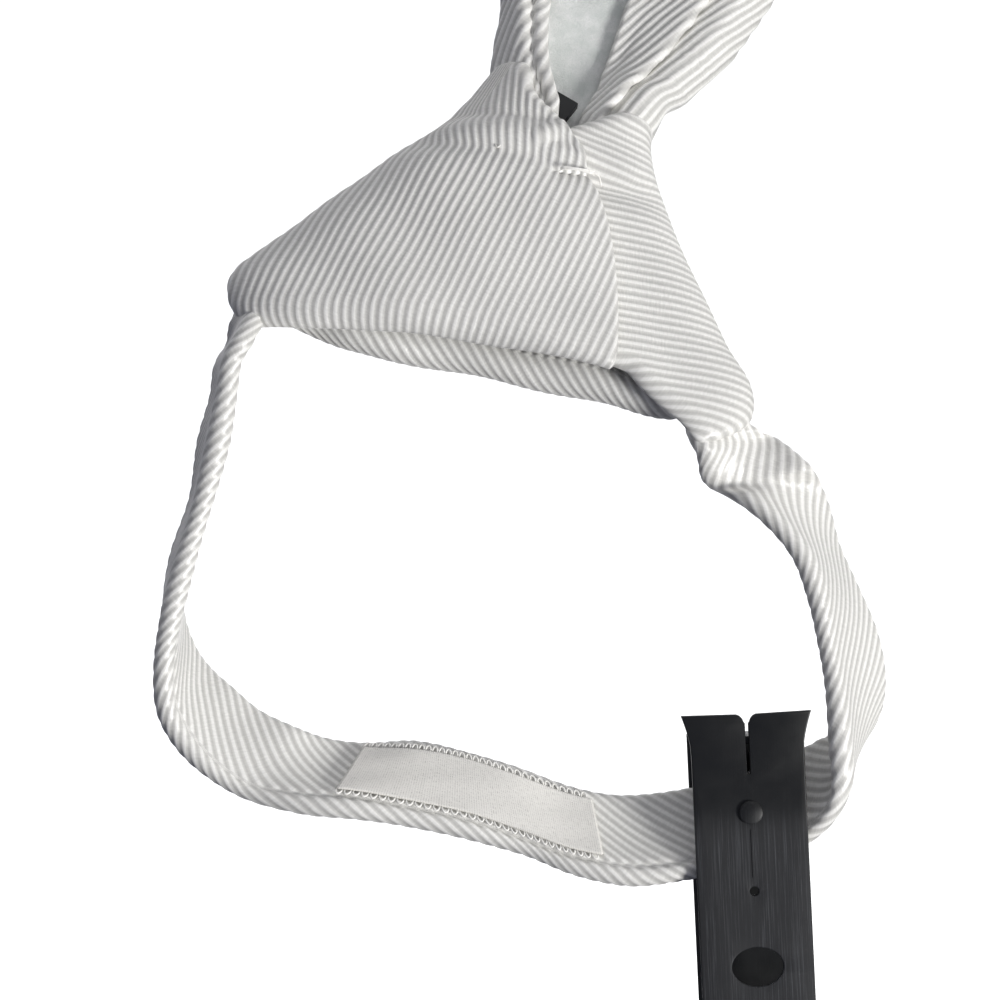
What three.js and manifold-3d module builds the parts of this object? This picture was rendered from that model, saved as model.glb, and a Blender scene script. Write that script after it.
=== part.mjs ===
// A zipper tie hanging by its neck band from a plastic strap.
// Millimetres, +Z up, the tie's back faces -Y. The origin is where a rail carries the strap's fold.
import * as THREE from 'three';
import { mergeVertices } from 'three/addons/utils/BufferGeometryUtils.js';
import Module from 'manifold-3d';

const wasm = await Module();
wasm.setup();

const clearance = 0.35;

// Hanger strap
const strapWidth = 11.2;
const strapWall = 0.8;
const strapGap = 7.4;
const strapFrontLength = 39.5;
const strapBackLength = 37.2;
const tabWidth = 12.9;
const tabLength = 3.4;
const tabNotchWidth = 2.3;
const tabNotchDepth = 1.0;
const tabSlitWidth = 0.3;
const tabSlitLength = 5.0;
const tabSweep = 0.1;
const footWidth = 9.6;
const ovalHoleWidth = 5.1;
const ovalHoleHeight = 3.9;
const ovalHoleDrop = 14.4;
const smallHoleDiameter = 0.9;
const smallHoleDrop = 21.9;
const studDiameter = 2.3;
const studHead = 0.35;
const studBevel = 0.25;
const studShankDiameter = 1.3;
const studDrop = 29.7;

// Neck band, a folded tube of cloth in one loop
const bandWidth = 10;
const bandWall = 2.2;
const gripDrop = 25.4;
const loopWidth = 67;
const loopHeight = 50;
const labelLength = 24.5;
const labelWidth = 6.4;
const labelWall = 0.5;
const labelToStrap = 16;

// Knot
const knotWidth = 53.5;
const knotHeight = 35;
const knotDepth = 12.4;
const knotRoll = 14.6;
const knotTilt = 30;
const wrapWall = 1.2;
const wrapOverlap = 7;
const rollDiameter = 4.6;
const formerWall = 1.0;

// Blade
const bladeLength = 285;
const bladeWidth = 66;
const clothWall = 1.0;
const feltWall = 1.0;
const bladeLean = 28;
const bladeLeanRun = 110;
const bladeTiltRun = 22;
const bladeInKnot = 12;
const pleatDepth = 1.2;

const degrees = Math.PI / 180;
const lerp = (a, b, t) => a + (b - a) * t;

// A smooth value from a table of rows, read by one column and given by another.
function fromTable(rows, by, name, value) {
  const last = rows.length - 1;
  if (value <= rows[0][by]) return rows[0][name];
  if (value >= rows[last][by]) return rows[last][name];
  let k = 0;
  while (value > rows[k + 1][by]) k += 1;
  const slope = (i) => {
    const a = rows[Math.max(i - 1, 0)];
    const b = rows[Math.min(i + 1, last)];
    return (b[name] - a[name]) / (b[by] - a[by]);
  };
  const run = rows[k + 1][by] - rows[k][by];
  const t = (value - rows[k][by]) / run;
  const t2 = t * t;
  const t3 = t2 * t;
  return rows[k][name] * (2 * t3 - 3 * t2 + 1) + slope(k) * run * (t3 - 2 * t2 + t)
    + rows[k + 1][name] * (3 * t2 - 2 * t3) + slope(k + 1) * run * (t3 - t2);
}

function geometryOf(points, triangles) {
  const geometry = new THREE.BufferGeometry();
  const position = new Float32Array(points.flatMap((p) => [p.x, p.y, p.z]));
  let volume = 0;
  for (const [a, b, c] of triangles) {
    volume += points[a].dot(new THREE.Vector3().crossVectors(points[b], points[c]));
  }
  const outward = volume > 0 ? triangles : triangles.map(([a, b, c]) => [a, c, b]);
  geometry.setAttribute('position', new THREE.BufferAttribute(position, 3));
  geometry.setIndex(outward.flat());
  return geometry;
}

// A cloth wall: two grids of the same rows and columns, joined along their four rims.
function wallBetween(outer, inner) {
  const rows = outer.length;
  const columns = outer[0].length;
  const points = [...outer.flat(), ...inner.flat()];
  const out = (i, j) => i * columns + j;
  const into = (i, j) => rows * columns + i * columns + j;
  const triangles = [];
  const quad = (a, b, c, d) => triangles.push([a, b, c], [a, c, d]);
  for (let i = 0; i < rows - 1; i += 1) {
    for (let j = 0; j < columns - 1; j += 1) {
      quad(out(i, j), out(i, j + 1), out(i + 1, j + 1), out(i + 1, j));
      quad(into(i, j), into(i + 1, j), into(i + 1, j + 1), into(i, j + 1));
    }
    quad(out(i, 0), out(i + 1, 0), into(i + 1, 0), into(i, 0));
    const end = columns - 1;
    quad(out(i, end), into(i, end), into(i + 1, end), out(i + 1, end));
  }
  for (let j = 0; j < columns - 1; j += 1) {
    quad(out(0, j), into(0, j), into(0, j + 1), out(0, j + 1));
    const end = rows - 1;
    quad(out(end, j), out(end, j + 1), into(end, j + 1), into(end, j));
  }
  return geometryOf(points, triangles);
}

// A solid through rings of points that go round a convex section.
function solidThrough(rings) {
  const around = rings[0].length;
  const points = rings.flat();
  const triangles = [];
  for (let i = 0; i < rings.length - 1; i += 1) {
    for (let j = 0; j < around; j += 1) {
      const next = (j + 1) % around;
      const [a, b] = [i * around + j, i * around + next];
      triangles.push([a, b, b + around], [a, b + around, a + around]);
    }
  }
  const top = (rings.length - 1) * around;
  for (let j = 1; j < around - 1; j += 1) {
    triangles.push([0, j + 1, j], [top, top + j, top + j + 1]);
  }
  return geometryOf(points, triangles);
}

function toSolid(geometry) {
  const bare = geometry.clone();
  bare.deleteAttribute('normal');
  bare.deleteAttribute('uv');
  const merged = mergeVertices(bare, 1e-4);
  const vertProperties = new Float32Array(merged.attributes.position.array);
  const triVerts = new Uint32Array(merged.index.array);
  return new wasm.Manifold(new wasm.Mesh({ numProp: 3, vertProperties, triVerts }));
}

function toGeometry(solid) {
  const mesh = solid.getMesh();
  const geometry = new THREE.BufferGeometry();
  const position = new Float32Array(mesh.vertProperties);
  geometry.setAttribute('position', new THREE.BufferAttribute(position, 3));
  geometry.setIndex([...mesh.triVerts]);
  return geometry;
}

const finishes = {
  satinRib: { color: '#efeeea', roughness: 0.45, metalness: 0 },
  felt: { color: '#d5d9d4', roughness: 0.95, metalness: 0 },
  labelSatin: { color: '#f1f0ec', roughness: 0.4, metalness: 0 },
  blackPlastic: { color: '#1d2022', roughness: 0.5, metalness: 0 },
};

const tie = new THREE.Group();

function addPiece(name, geometry, finish, parent = tie) {
  const mesh = new THREE.Mesh(geometry, new THREE.MeshStandardMaterial(finishes[finish]));
  mesh.name = name;
  parent.add(mesh);
  return mesh;
}

// The knot's own axes: x along its top edge, y through it, z up its length; its base is at z 0.
const knot = new THREE.Group();
const knotAcross = 0.348 * loopWidth;
const knotBaseZ = -gripDrop - 0.994 * loopHeight;
knot.position.set(knotAcross, 0, knotBaseZ);
knot.rotation.set(knotTilt * degrees, knotRoll * degrees, 0, 'YXZ');
knot.updateMatrixWorld(true);
tie.add(knot);

// The knot's outline, wide at the base and narrow at the mouth: half widths on its two sides.
const knotOutline = [
  { down: -0.15, plus: 0.90, minus: 0.90, deep: 0.88 },
  { down: 0.00, plus: 1.00, minus: 0.98, deep: 0.94 },
  { down: 0.10, plus: 1.04, minus: 0.96, deep: 0.97 },
  { down: 0.20, plus: 0.96, minus: 0.86, deep: 0.97 },
  { down: 0.32, plus: 0.84, minus: 0.76, deep: 1.00 },
  { down: 0.46, plus: 0.71, minus: 0.65, deep: 0.98 },
  { down: 0.60, plus: 0.57, minus: 0.55, deep: 0.94 },
  { down: 0.73, plus: 0.43, minus: 0.47, deep: 0.90 },
  { down: 0.87, plus: 0.32, minus: 0.42, deep: 0.87 },
  { down: 1.06, plus: 0.22, minus: 0.42, deep: 0.84 },
];

// Where the left back panel ends over the right one.
const seamLine = [
  { down: -0.05, at: -0.46 },
  { down: 0.18, at: -0.44 },
  { down: 0.34, at: -0.41 },
  { down: 0.53, at: -0.35 },
  { down: 0.66, at: -0.27 },
  { down: 0.79, at: -0.18 },
  { down: 0.88, at: -0.05 },
  { down: 1.00, at: 0.02 },
];

// The wrap's top and mouth edges, by how far round the knot they are: 0 is under the left back panel,
// 0.25 the minus side, 0.5 the middle of the front, 0.75 the plus side and 1 the seam.
const wrapEdges = [
  { round: 0.00, top: 0.02, mouth: 0.88 },
  { round: 0.08, top: 0.05, mouth: 0.90 },
  { round: 0.17, top: 0.12, mouth: 0.93 },
  { round: 0.25, top: 0.00, mouth: 0.92 },
  { round: 0.38, top: -0.07, mouth: 0.94 },
  { round: 0.50, top: -0.10, mouth: 0.98 },
  { round: 0.62, top: -0.07, mouth: 1.01 },
  { round: 0.75, top: 0.02, mouth: 1.03 },
  { round: 0.87, top: 0.05, mouth: 0.96 },
  { round: 1.00, top: 0.01, mouth: 0.86 },
];

function knotSection(down) {
  const half = knotWidth / 2;
  const plus = fromTable(knotOutline, 'down', 'plus', down) * half;
  const minus = fromTable(knotOutline, 'down', 'minus', down) * half;
  const deep = fromTable(knotOutline, 'down', 'deep', down) * knotDepth / 2;
  return { centre: (plus - minus) / 2, wide: (plus + minus) / 2, deep };
}

// The middle of the wrap's wall: it starts under the left panel, goes round the minus side, the front
// and the plus side, and ends at the seam, over its own start.
function wrapPoint(round, down) {
  const section = knotSection(down);
  const seam = fromTable(seamLine, 'down', 'at', down) * knotWidth / 2;
  const angleAt = (x) => Math.acos(THREE.MathUtils.clamp((x - section.centre) / section.wide, -1, 1));
  const startAngle = -angleAt(seam + wrapOverlap);
  const endAngle = -2 * Math.PI - angleAt(seam);
  let angle;
  if (round < 0.25) angle = lerp(startAngle, -Math.PI, round / 0.25);
  else if (round < 0.75) angle = lerp(-Math.PI, -2 * Math.PI, (round - 0.25) / 0.5);
  else angle = lerp(-2 * Math.PI, endAngle, (round - 0.75) / 0.25);
  const under = 1 - THREE.MathUtils.smoothstep(round, 0.1, 0.22);
  const inset = wrapWall / 2 + under * (wrapWall + clearance);
  const wide = section.wide - inset;
  const deep = section.deep - inset;
  const point = new THREE.Vector3(section.centre + wide * Math.cos(angle), deep * Math.sin(angle), 0);
  point.z = -down * knotHeight;
  const normal = new THREE.Vector3(Math.cos(angle) / wide, Math.sin(angle) / deep, 0).normalize();
  return { point, normal };
}

function buildWrap() {
  const columns = 45;
  const levels = 15;
  const outer = [];
  const inner = [];
  for (let i = 0; i < levels; i += 1) {
    outer.push([]);
    inner.push([]);
    for (let j = 0; j < columns; j += 1) {
      const round = j / (columns - 1);
      const top = -fromTable(wrapEdges, 'round', 'top', round);
      const mouth = fromTable(wrapEdges, 'round', 'mouth', round);
      const { point, normal } = wrapPoint(round, lerp(top, mouth, i / (levels - 1)));
      outer[i].push(point.clone().addScaledVector(normal, wrapWall / 2));
      inner[i].push(point.clone().addScaledVector(normal, -wrapWall / 2));
    }
  }
  addPiece('knot_wrap', wallBetween(outer, inner), 'satinRib', knot);
}

// The roll of cloth inside the top of the front wall, thin at both ends.
function buildTopRoll() {
  const rows = [
    { along: 0.00, at: 0.68, drop: 0.045, thick: 0.25 },
    { along: 0.20, at: 0.48, drop: 0.040, thick: 0.70 },
    { along: 0.50, at: 0.02, drop: 0.030, thick: 1.00 },
    { along: 0.80, at: -0.40, drop: 0.020, thick: 0.85 },
    { along: 1.00, at: -0.52, drop: 0.010, thick: 0.25 },
  ];
  const rings = [];
  const steps = 24;
  const sides = 10;
  for (let i = 0; i <= steps; i += 1) {
    const along = i / steps;
    const across = fromTable(rows, 'along', 'at', along) * knotWidth / 2;
    const down = fromTable(rows, 'along', 'drop', along);
    const radius = fromTable(rows, 'along', 'thick', along) * rollDiameter / 2;
    const section = knotSection(down);
    const share = THREE.MathUtils.clamp((across - section.centre) / section.wide, -0.95, 0.95);
    const front = (section.deep - wrapWall) * Math.sqrt(1 - share * share);
    const ring = [];
    for (let j = 0; j < sides; j += 1) {
      const turn = j / sides * 2 * Math.PI;
      const y = front - clearance - radius * (1 + Math.cos(turn));
      ring.push(new THREE.Vector3(across, y, -down * knotHeight + radius * Math.sin(turn)));
    }
    rings.push(ring);
  }
  addPiece('knot_top_roll', solidThrough(rings), 'satinRib', knot);
}

// The plastic plate inside the knot, behind the back panels.
function buildFormer() {
  const half = knotWidth / 2;
  const outline = [
    { across: 0.56, down: 0.22 }, { across: 0.16, down: 0.80 }, { across: 0.00, down: 0.965 },
    { across: -0.11, down: 0.965 }, { across: -0.17, down: 0.80 }, { across: -0.40, down: 0.22 },
  ];
  const shape = new THREE.Shape();
  outline.forEach(({ across, down }, i) => {
    if (i === 0) shape.moveTo(across * half, -down * knotHeight);
    else shape.lineTo(across * half, -down * knotHeight);
  });
  shape.closePath();
  const plate = new THREE.ExtrudeGeometry(shape, { depth: formerWall, bevelEnabled: false });
  plate.rotateX(90 * degrees);
  const leastDeep = Math.min(...knotOutline.map((row) => row.deep));
  const back = -leastDeep * knotDepth / 2 + 2 * (wrapWall + clearance);
  plate.translate(0, back + formerWall, 0);
  addPiece('knot_former', plate, 'blackPlastic', knot);
}

// The band's route, by its two edges: near is towards -Y and far towards +Y. Shares of the loop's width
// and height, from the place where the strap holds it.
const loopRoute = [
  { nearAcross: 0.716, nearUp: -1.065, farAcross: 0.736, farUp: -1.055 },
  { nearAcross: 0.733, nearUp: -1.03, farAcross: 0.752, farUp: -1.02 },
  { nearAcross: 0.745, nearUp: -0.96, farAcross: 0.760, farUp: -0.96 },
  { nearAcross: 0.760, nearUp: -0.87, farAcross: 0.783, farUp: -0.87 },
  { nearAcross: 0.786, nearUp: -0.75, farAcross: 0.800, farUp: -0.755 },
  { nearAcross: 0.819, nearUp: -0.62, farAcross: 0.838, farUp: -0.63 },
  { nearAcross: 0.842, nearUp: -0.52, farAcross: 0.847, farUp: -0.53 },
  { nearAcross: 0.855, nearUp: -0.44, farAcross: 0.832, farUp: -0.45 },
  { nearAcross: 0.855, nearUp: -0.35, farAcross: 0.806, farUp: -0.40 },
  { nearAcross: 0.836, nearUp: -0.29, farAcross: 0.773, farUp: -0.36 },
  { nearAcross: 0.800, nearUp: -0.23, farAcross: 0.733, farUp: -0.31 },
  { nearAcross: 0.745, nearUp: -0.175, farAcross: 0.678, farUp: -0.27 },
  { nearAcross: 0.665, nearUp: -0.145, farAcross: 0.632, farUp: -0.245 },
  { nearAcross: 0.586, nearUp: -0.13, farAcross: 0.565, farUp: -0.235 },
  { nearAcross: 0.499, nearUp: -0.105, farAcross: 0.492, farUp: -0.24 },
  { nearAcross: 0.420, nearUp: -0.078, farAcross: 0.428, farUp: -0.225 },
  { nearAcross: 0.343, nearUp: -0.040, farAcross: 0.360, farUp: -0.19 },
  { nearAcross: 0.275, nearUp: 0.000, farAcross: 0.280, farUp: -0.13 },
  { nearAcross: 0.222, nearUp: 0.019, farAcross: 0.224, farUp: -0.108 },
  { nearAcross: 0.168, nearUp: 0.030, farAcross: 0.168, farUp: -0.098 },
  { nearAcross: 0.084, nearUp: 0.023, farAcross: 0.084, farUp: -0.105 },
  { nearAcross: -0.003, nearUp: 0.003, farAcross: -0.003, farUp: -0.138 },
  { nearAcross: -0.080, nearUp: -0.030, farAcross: -0.078, farUp: -0.17 },
  { nearAcross: -0.120, nearUp: -0.075, farAcross: -0.125, farUp: -0.195 },
  { nearAcross: -0.138, nearUp: -0.132, farAcross: -0.165, farUp: -0.215 },
  { nearAcross: -0.140, nearUp: -0.21, farAcross: -0.192, farUp: -0.26 },
  { nearAcross: -0.137, nearUp: -0.315, farAcross: -0.202, farUp: -0.325 },
  { nearAcross: -0.127, nearUp: -0.41, farAcross: -0.194, farUp: -0.425 },
  { nearAcross: -0.115, nearUp: -0.505, farAcross: -0.172, farUp: -0.515 },
  { nearAcross: -0.095, nearUp: -0.59, farAcross: -0.145, farUp: -0.60 },
  { nearAcross: -0.058, nearUp: -0.66, farAcross: -0.131, farUp: -0.670 },
  { nearAcross: -0.020, nearUp: -0.707, farAcross: -0.118, farUp: -0.718 },
  { nearAcross: 0.013, nearUp: -0.732, farAcross: -0.102, farUp: -0.760 },
  { nearAcross: 0.034, nearUp: -0.757, farAcross: -0.081, farUp: -0.790 },
  { nearAcross: 0.043, nearUp: -0.803, farAcross: -0.052, farUp: -0.822 },
];

// Its two ends inside the knot, in the knot's own axes, as shares of its half width and height.
const plusEnd = [
  { nearAcross: 0.70, nearUp: -0.08, farAcross: 0.70, farUp: -0.08, nearDeep: -0.06, farDeep: 0.02 },
  { nearAcross: 0.78, nearUp: -0.02, farAcross: 0.78, farUp: -0.02, nearDeep: -0.02, farDeep: 0.06 },
  { nearAcross: 0.885, nearUp: 0.075, farAcross: 0.91, farUp: 0.065, nearDeep: 0.00, farDeep: 0.16 },
];
const minusEnd = [
  { nearAcross: -0.80, nearUp: 0.13, farAcross: -1.00, farUp: 0.055, nearDeep: 0.02, farDeep: 0.08 },
  { nearAcross: -0.68, nearUp: 0.06, farAcross: -0.84, farUp: 0.06, nearDeep: 0.03, farDeep: 0.06 },
  { nearAcross: -0.56, nearUp: 0.00, farAcross: -0.72, farUp: -0.04, nearDeep: 0.02, farDeep: 0.03 },
];

function bandEdges() {
  const reach = bandWidth - bandWall;
  const near = [];
  const far = [];
  const inKnot = (across, deep, up) => knot.localToWorld(
    new THREE.Vector3(across * knotWidth / 2, deep * knotDepth, up * knotHeight),
  );
  const addEnd = (rows) => rows.forEach((row) => {
    near.push(inKnot(row.nearAcross, row.nearDeep, row.nearUp));
    far.push(inKnot(row.farAcross, row.farDeep, row.farUp));
  });
  addEnd(plusEnd);
  loopRoute.forEach((row) => {
    const dx = (row.farAcross - row.nearAcross) * loopWidth;
    const dz = (row.farUp - row.nearUp) * loopHeight;
    const deep = Math.sqrt(Math.max(reach * reach - dx * dx - dz * dz, 0)) / 2;
    const z = -gripDrop + row.nearUp * loopHeight;
    near.push(new THREE.Vector3(row.nearAcross * loopWidth, -deep, z));
    far.push(new THREE.Vector3(row.farAcross * loopWidth, deep, z + dz));
  });
  addEnd(minusEnd);
  return {
    near: new THREE.CatmullRomCurve3(near, false, 'centripetal'),
    far: new THREE.CatmullRomCurve3(far, false, 'centripetal'),
  };
}

const edges = bandEdges();

// The band's axes at a share of its route: along it, across its width from near to far, and out of it.
function bandFrame(share) {
  const near = edges.near.getPoint(share);
  const far = edges.far.getPoint(share);
  const along = edges.near.getTangent(share).add(edges.far.getTangent(share)).normalize();
  const across = far.clone().sub(near).normalize();
  const out = new THREE.Vector3().crossVectors(across, along).normalize();
  return { near, far, across, out };
}

function buildBand() {
  const rings = [];
  const stations = 76;
  const endSides = 4;
  for (let i = 0; i <= stations; i += 1) {
    const { near, far, across, out } = bandFrame(i / stations);
    const ring = [];
    [[near, 1], [far, -1]].forEach(([centre, side]) => {
      for (let j = 0; j <= endSides; j += 1) {
        const turn = (j / endSides - 0.5) * Math.PI;
        const offset = out.clone().multiplyScalar(side * Math.sin(turn) * bandWall / 2);
        offset.addScaledVector(across, -side * Math.cos(turn) * bandWall / 2);
        ring.push(centre.clone().add(offset));
      }
    });
    rings.push(ring);
  }
  addPiece('neck_band', solidThrough(rings), 'satinRib');
}

function buildLabel() {
  const outer = [];
  const inner = [];
  const columns = 26;
  const steps = 2000;
  const lift = bandWall / 2 + clearance;
  const lengths = edges.near.getLengths(steps);
  const grip = lengths.findIndex((_, i) => i > steps / 3 && edges.near.getPoint(i / steps).x < 0);
  const labelEnd = lengths[grip] - labelToStrap;
  const shareAt = (length) => lengths.findIndex((reached) => reached >= length) / steps;
  for (let i = 0; i <= columns; i += 1) {
    const share = shareAt(labelEnd - labelLength * (1 - i / columns));
    const { far, across, out } = bandFrame(share);
    out.negate();
    const top = far.clone().addScaledVector(across, bandWall * 0.1);
    const rows = [0, 0.5, 1].map((down) => top.clone().addScaledVector(across, -down * labelWidth));
    inner.push(rows.map((point) => point.clone().addScaledVector(out, lift)));
    outer.push(rows.map((point) => point.clone().addScaledVector(out, lift + labelWall)));
  }
  addPiece('band_label', wallBetween(outer, inner), 'labelSatin');
}

// The blade by its length from the mouth: width, the place and width of the opening between its hems as
// shares of the local half width and width, and how deep its pleats are.
const bladeRows = [
  { along: -0.05, width: 0.140, hemAt: 0.20, open: 0.10, pleat: 0.10 },
  { along: -0.015, width: 0.155, hemAt: 0.22, open: 0.12, pleat: 0.20 },
  { along: 0.000, width: 0.165, hemAt: 0.24, open: 0.14, pleat: 0.40 },
  { along: 0.010, width: 0.245, hemAt: 0.28, open: 0.18, pleat: 0.80 },
  { along: 0.020, width: 0.305, hemAt: 0.32, open: 0.23, pleat: 0.95 },
  { along: 0.035, width: 0.375, hemAt: 0.34, open: 0.26, pleat: 1.00 },
  { along: 0.070, width: 0.470, hemAt: 0.28, open: 0.26, pleat: 0.95 },
  { along: 0.130, width: 0.545, hemAt: 0.12, open: 0.16, pleat: 0.70 },
  { along: 0.220, width: 0.600, hemAt: 0.02, open: 0.04, pleat: 0.40 },
  { along: 0.400, width: 0.700, hemAt: 0.00, open: 0.02, pleat: 0.12 },
  { along: 0.600, width: 0.820, hemAt: 0.00, open: 0.02, pleat: 0.04 },
  { along: 0.780, width: 0.935, hemAt: 0.00, open: 0.03, pleat: 0.00 },
  { along: 0.860, width: 0.990, hemAt: 0.00, open: 0.35, pleat: 0.00 },
  { along: 0.885, width: 1.000, hemAt: 0.00, open: 0.60, pleat: 0.00 },
  { along: 0.900, width: 0.900, hemAt: 0.00, open: 0.66, pleat: 0.00 },
  { along: 0.950, width: 0.480, hemAt: 0.00, open: 0.55, pleat: 0.00 },
  { along: 1.000, width: 0.070, hemAt: 0.00, open: 0.10, pleat: 0.00 },
];

// The pleats across the blade where it leaves the knot.
const pleatRows = [
  { at: -1.00, rise: 0.2 }, { at: -0.80, rise: 0.9 }, { at: -0.60, rise: -0.3 },
  { at: -0.40, rise: 0.8 }, { at: -0.15, rise: -0.7 }, { at: 0.05, rise: 0.1 },
  { at: 0.32, rise: -0.8 }, { at: 0.55, rise: -0.1 }, { at: 0.80, rise: 0.9 }, { at: 1.00, rise: 0.2 },
];

// The blade's line: it leaves the knot leaning, then hangs straight. Each frame has its place, the
// direction down the blade, the way across it and the way to its back.
const bladeStart = new THREE.Vector3(-0.045 * knotWidth, 0.1 * knotDepth, -1.0 * knotHeight);

function bladeFrames() {
  const mouth = knot.localToWorld(bladeStart.clone());
  const directionAt = (length) => {
    const past = Math.max(length, 0);
    const settle = THREE.MathUtils.smoothstep(length, 0, bladeInKnot / 2);
    const lean = lerp(knotRoll, bladeLean, settle) * Math.exp(-past / bladeLeanRun) * degrees;
    const tilt = knotTilt * Math.exp(-past / bladeTiltRun) * degrees;
    const flat = new THREE.Vector3(-Math.sin(lean), 0, -Math.cos(lean)).multiplyScalar(Math.cos(tilt));
    return flat.setY(Math.sin(tilt));
  };
  const step = bladeLength / 570;
  const walk = (from, to) => {
    const place = mouth.clone();
    const sign = Math.sign(to - from);
    for (let at = 0; at < Math.abs(to - from); at += step) {
      const part = Math.min(step, Math.abs(to - from) - at);
      place.addScaledVector(directionAt(from + sign * (at + part / 2)), sign * part);
    }
    return place;
  };
  return (length) => {
    const down = directionAt(length);
    const side = new THREE.Vector3(0, 1, 0).cross(down).negate().normalize();
    const back = new THREE.Vector3().crossVectors(down, side).normalize();
    if (back.y > 0) back.negate();
    if (side.x < 0) side.negate();
    return { place: walk(0, length), down, side, back };
  };
}

const bladeFrame = bladeFrames();
const layerStep = clothWall + feltWall + 2 * clearance;

function bladeHalfWidth(along) {
  return fromTable(bladeRows, 'along', 'width', along) * bladeWidth / 2;
}

function pleatAt(along, share) {
  const depth = pleatDepth * fromTable(bladeRows, 'along', 'pleat', along);
  return depth * fromTable(pleatRows, 'at', 'rise', share);
}

// A point of the blade at a share of its half width and a height over its middle layer.
function bladePoint(frame, along, across, height) {
  const half = bladeHalfWidth(along);
  const rise = height + pleatAt(along, across / half);
  return frame.place.clone().addScaledVector(frame.side, across).addScaledVector(frame.back, rise);
}

// The section's middle line: one flap from its hem to the fold, round it, the front, and back again.
function bladeSection(along) {
  const [flapPoints, foldPoints, frontPoints] = [7, 4, 18];
  const half = bladeHalfWidth(along);
  const open = fromTable(bladeRows, 'along', 'open', along);
  const hemAt = fromTable(bladeRows, 'along', 'hemAt', along) * half;
  const radius = layerStep / 2;
  const flat = Math.max(half - radius - clothWall / 2, 0.4 * clothWall);
  const gap = Math.min(Math.max(open * half, clearance), flat - 0.2 * clothWall);
  const furthest = flat - 0.15 * clothWall;
  const line = [];
  const flap = (side) => {
    const hem = side > 0 ? Math.min(hemAt + gap, furthest) : Math.max(hemAt - gap, -furthest);
    return Array.from({ length: flapPoints }, (_, i) => {
      const across = lerp(hem, side * flat, i / flapPoints);
      return { across, height: radius, normal: [0, 1] };
    });
  };
  const fold = (side) => Array.from({ length: foldPoints }, (_, i) => {
    const turn = (0.5 - i / (foldPoints - 1)) * Math.PI;
    const [c, s] = [Math.cos(turn), Math.sin(turn)];
    return { across: side * (flat + radius * c), height: radius * s, normal: [side * c, s] };
  });
  line.push(...flap(1), ...fold(1));
  for (let i = 1; i < frontPoints; i += 1) {
    line.push({ across: lerp(flat, -flat, i / frontPoints), height: -radius, normal: [0, -1] });
  }
  line.push(...fold(-1).reverse(), ...flap(-1).reverse());
  return line;
}

const bladeStations = [-0.042, -0.02, -0.005, 0.01, 0.022, 0.035, 0.052, 0.07, 0.1, 0.13, 0.17, 0.22, 0.3,
  0.4, 0.5, 0.6, 0.69, 0.78, 0.82, 0.86, 0.885, 0.9, 0.925, 0.95, 0.975, 1.0];

function buildBlade() {
  const outer = [];
  const inner = [];
  bladeStations.forEach((along) => {
    const frame = bladeFrame(along * bladeLength);
    const at = (point, side) => {
      const across = point.across + side * point.normal[0] * clothWall / 2;
      return bladePoint(frame, along, across, point.height + side * point.normal[1] * clothWall / 2);
    };
    const line = bladeSection(along);
    outer.push(line.map((point) => at(point, 1)));
    inner.push(line.map((point) => at(point, -1)));
  });
  addPiece('blade', wallBetween(outer, inner), 'satinRib');
}

function buildInterlining() {
  const outer = [];
  const inner = [];
  const columns = 18;
  const feltEnd = 0.86;
  bladeStations.filter((along) => along <= feltEnd).forEach((along) => {
    const frame = bladeFrame(along * bladeLength);
    const half = bladeHalfWidth(along) - layerStep / 2 - clothWall - clearance;
    const rows = Array.from({ length: columns + 1 }, (_, i) => lerp(-half, half, i / columns));
    outer.push(rows.map((across) => bladePoint(frame, along, across, feltWall / 2)));
    inner.push(rows.map((across) => bladePoint(frame, along, across, -feltWall / 2)));
  });
  addPiece('blade_interlining', wallBetween(outer, inner), 'felt');
}

function roundHole(diameterX, diameterZ, drop) {
  const sides = 20;
  const hole = new THREE.CylinderGeometry(0.5, 0.5, 3 * strapWall, sides);
  hole.scale(diameterX, 1, diameterZ);
  hole.translate(0, -(strapGap + strapWall) / 2, -drop);
  return toSolid(hole);
}

function plateFrom(shape, depth, faceY) {
  const plate = new THREE.ExtrudeGeometry(shape, { depth, bevelEnabled: false, curveSegments: 8 });
  plate.rotateX(90 * degrees);
  plate.translate(0, faceY + depth, 0);
  return toSolid(plate);
}

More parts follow.
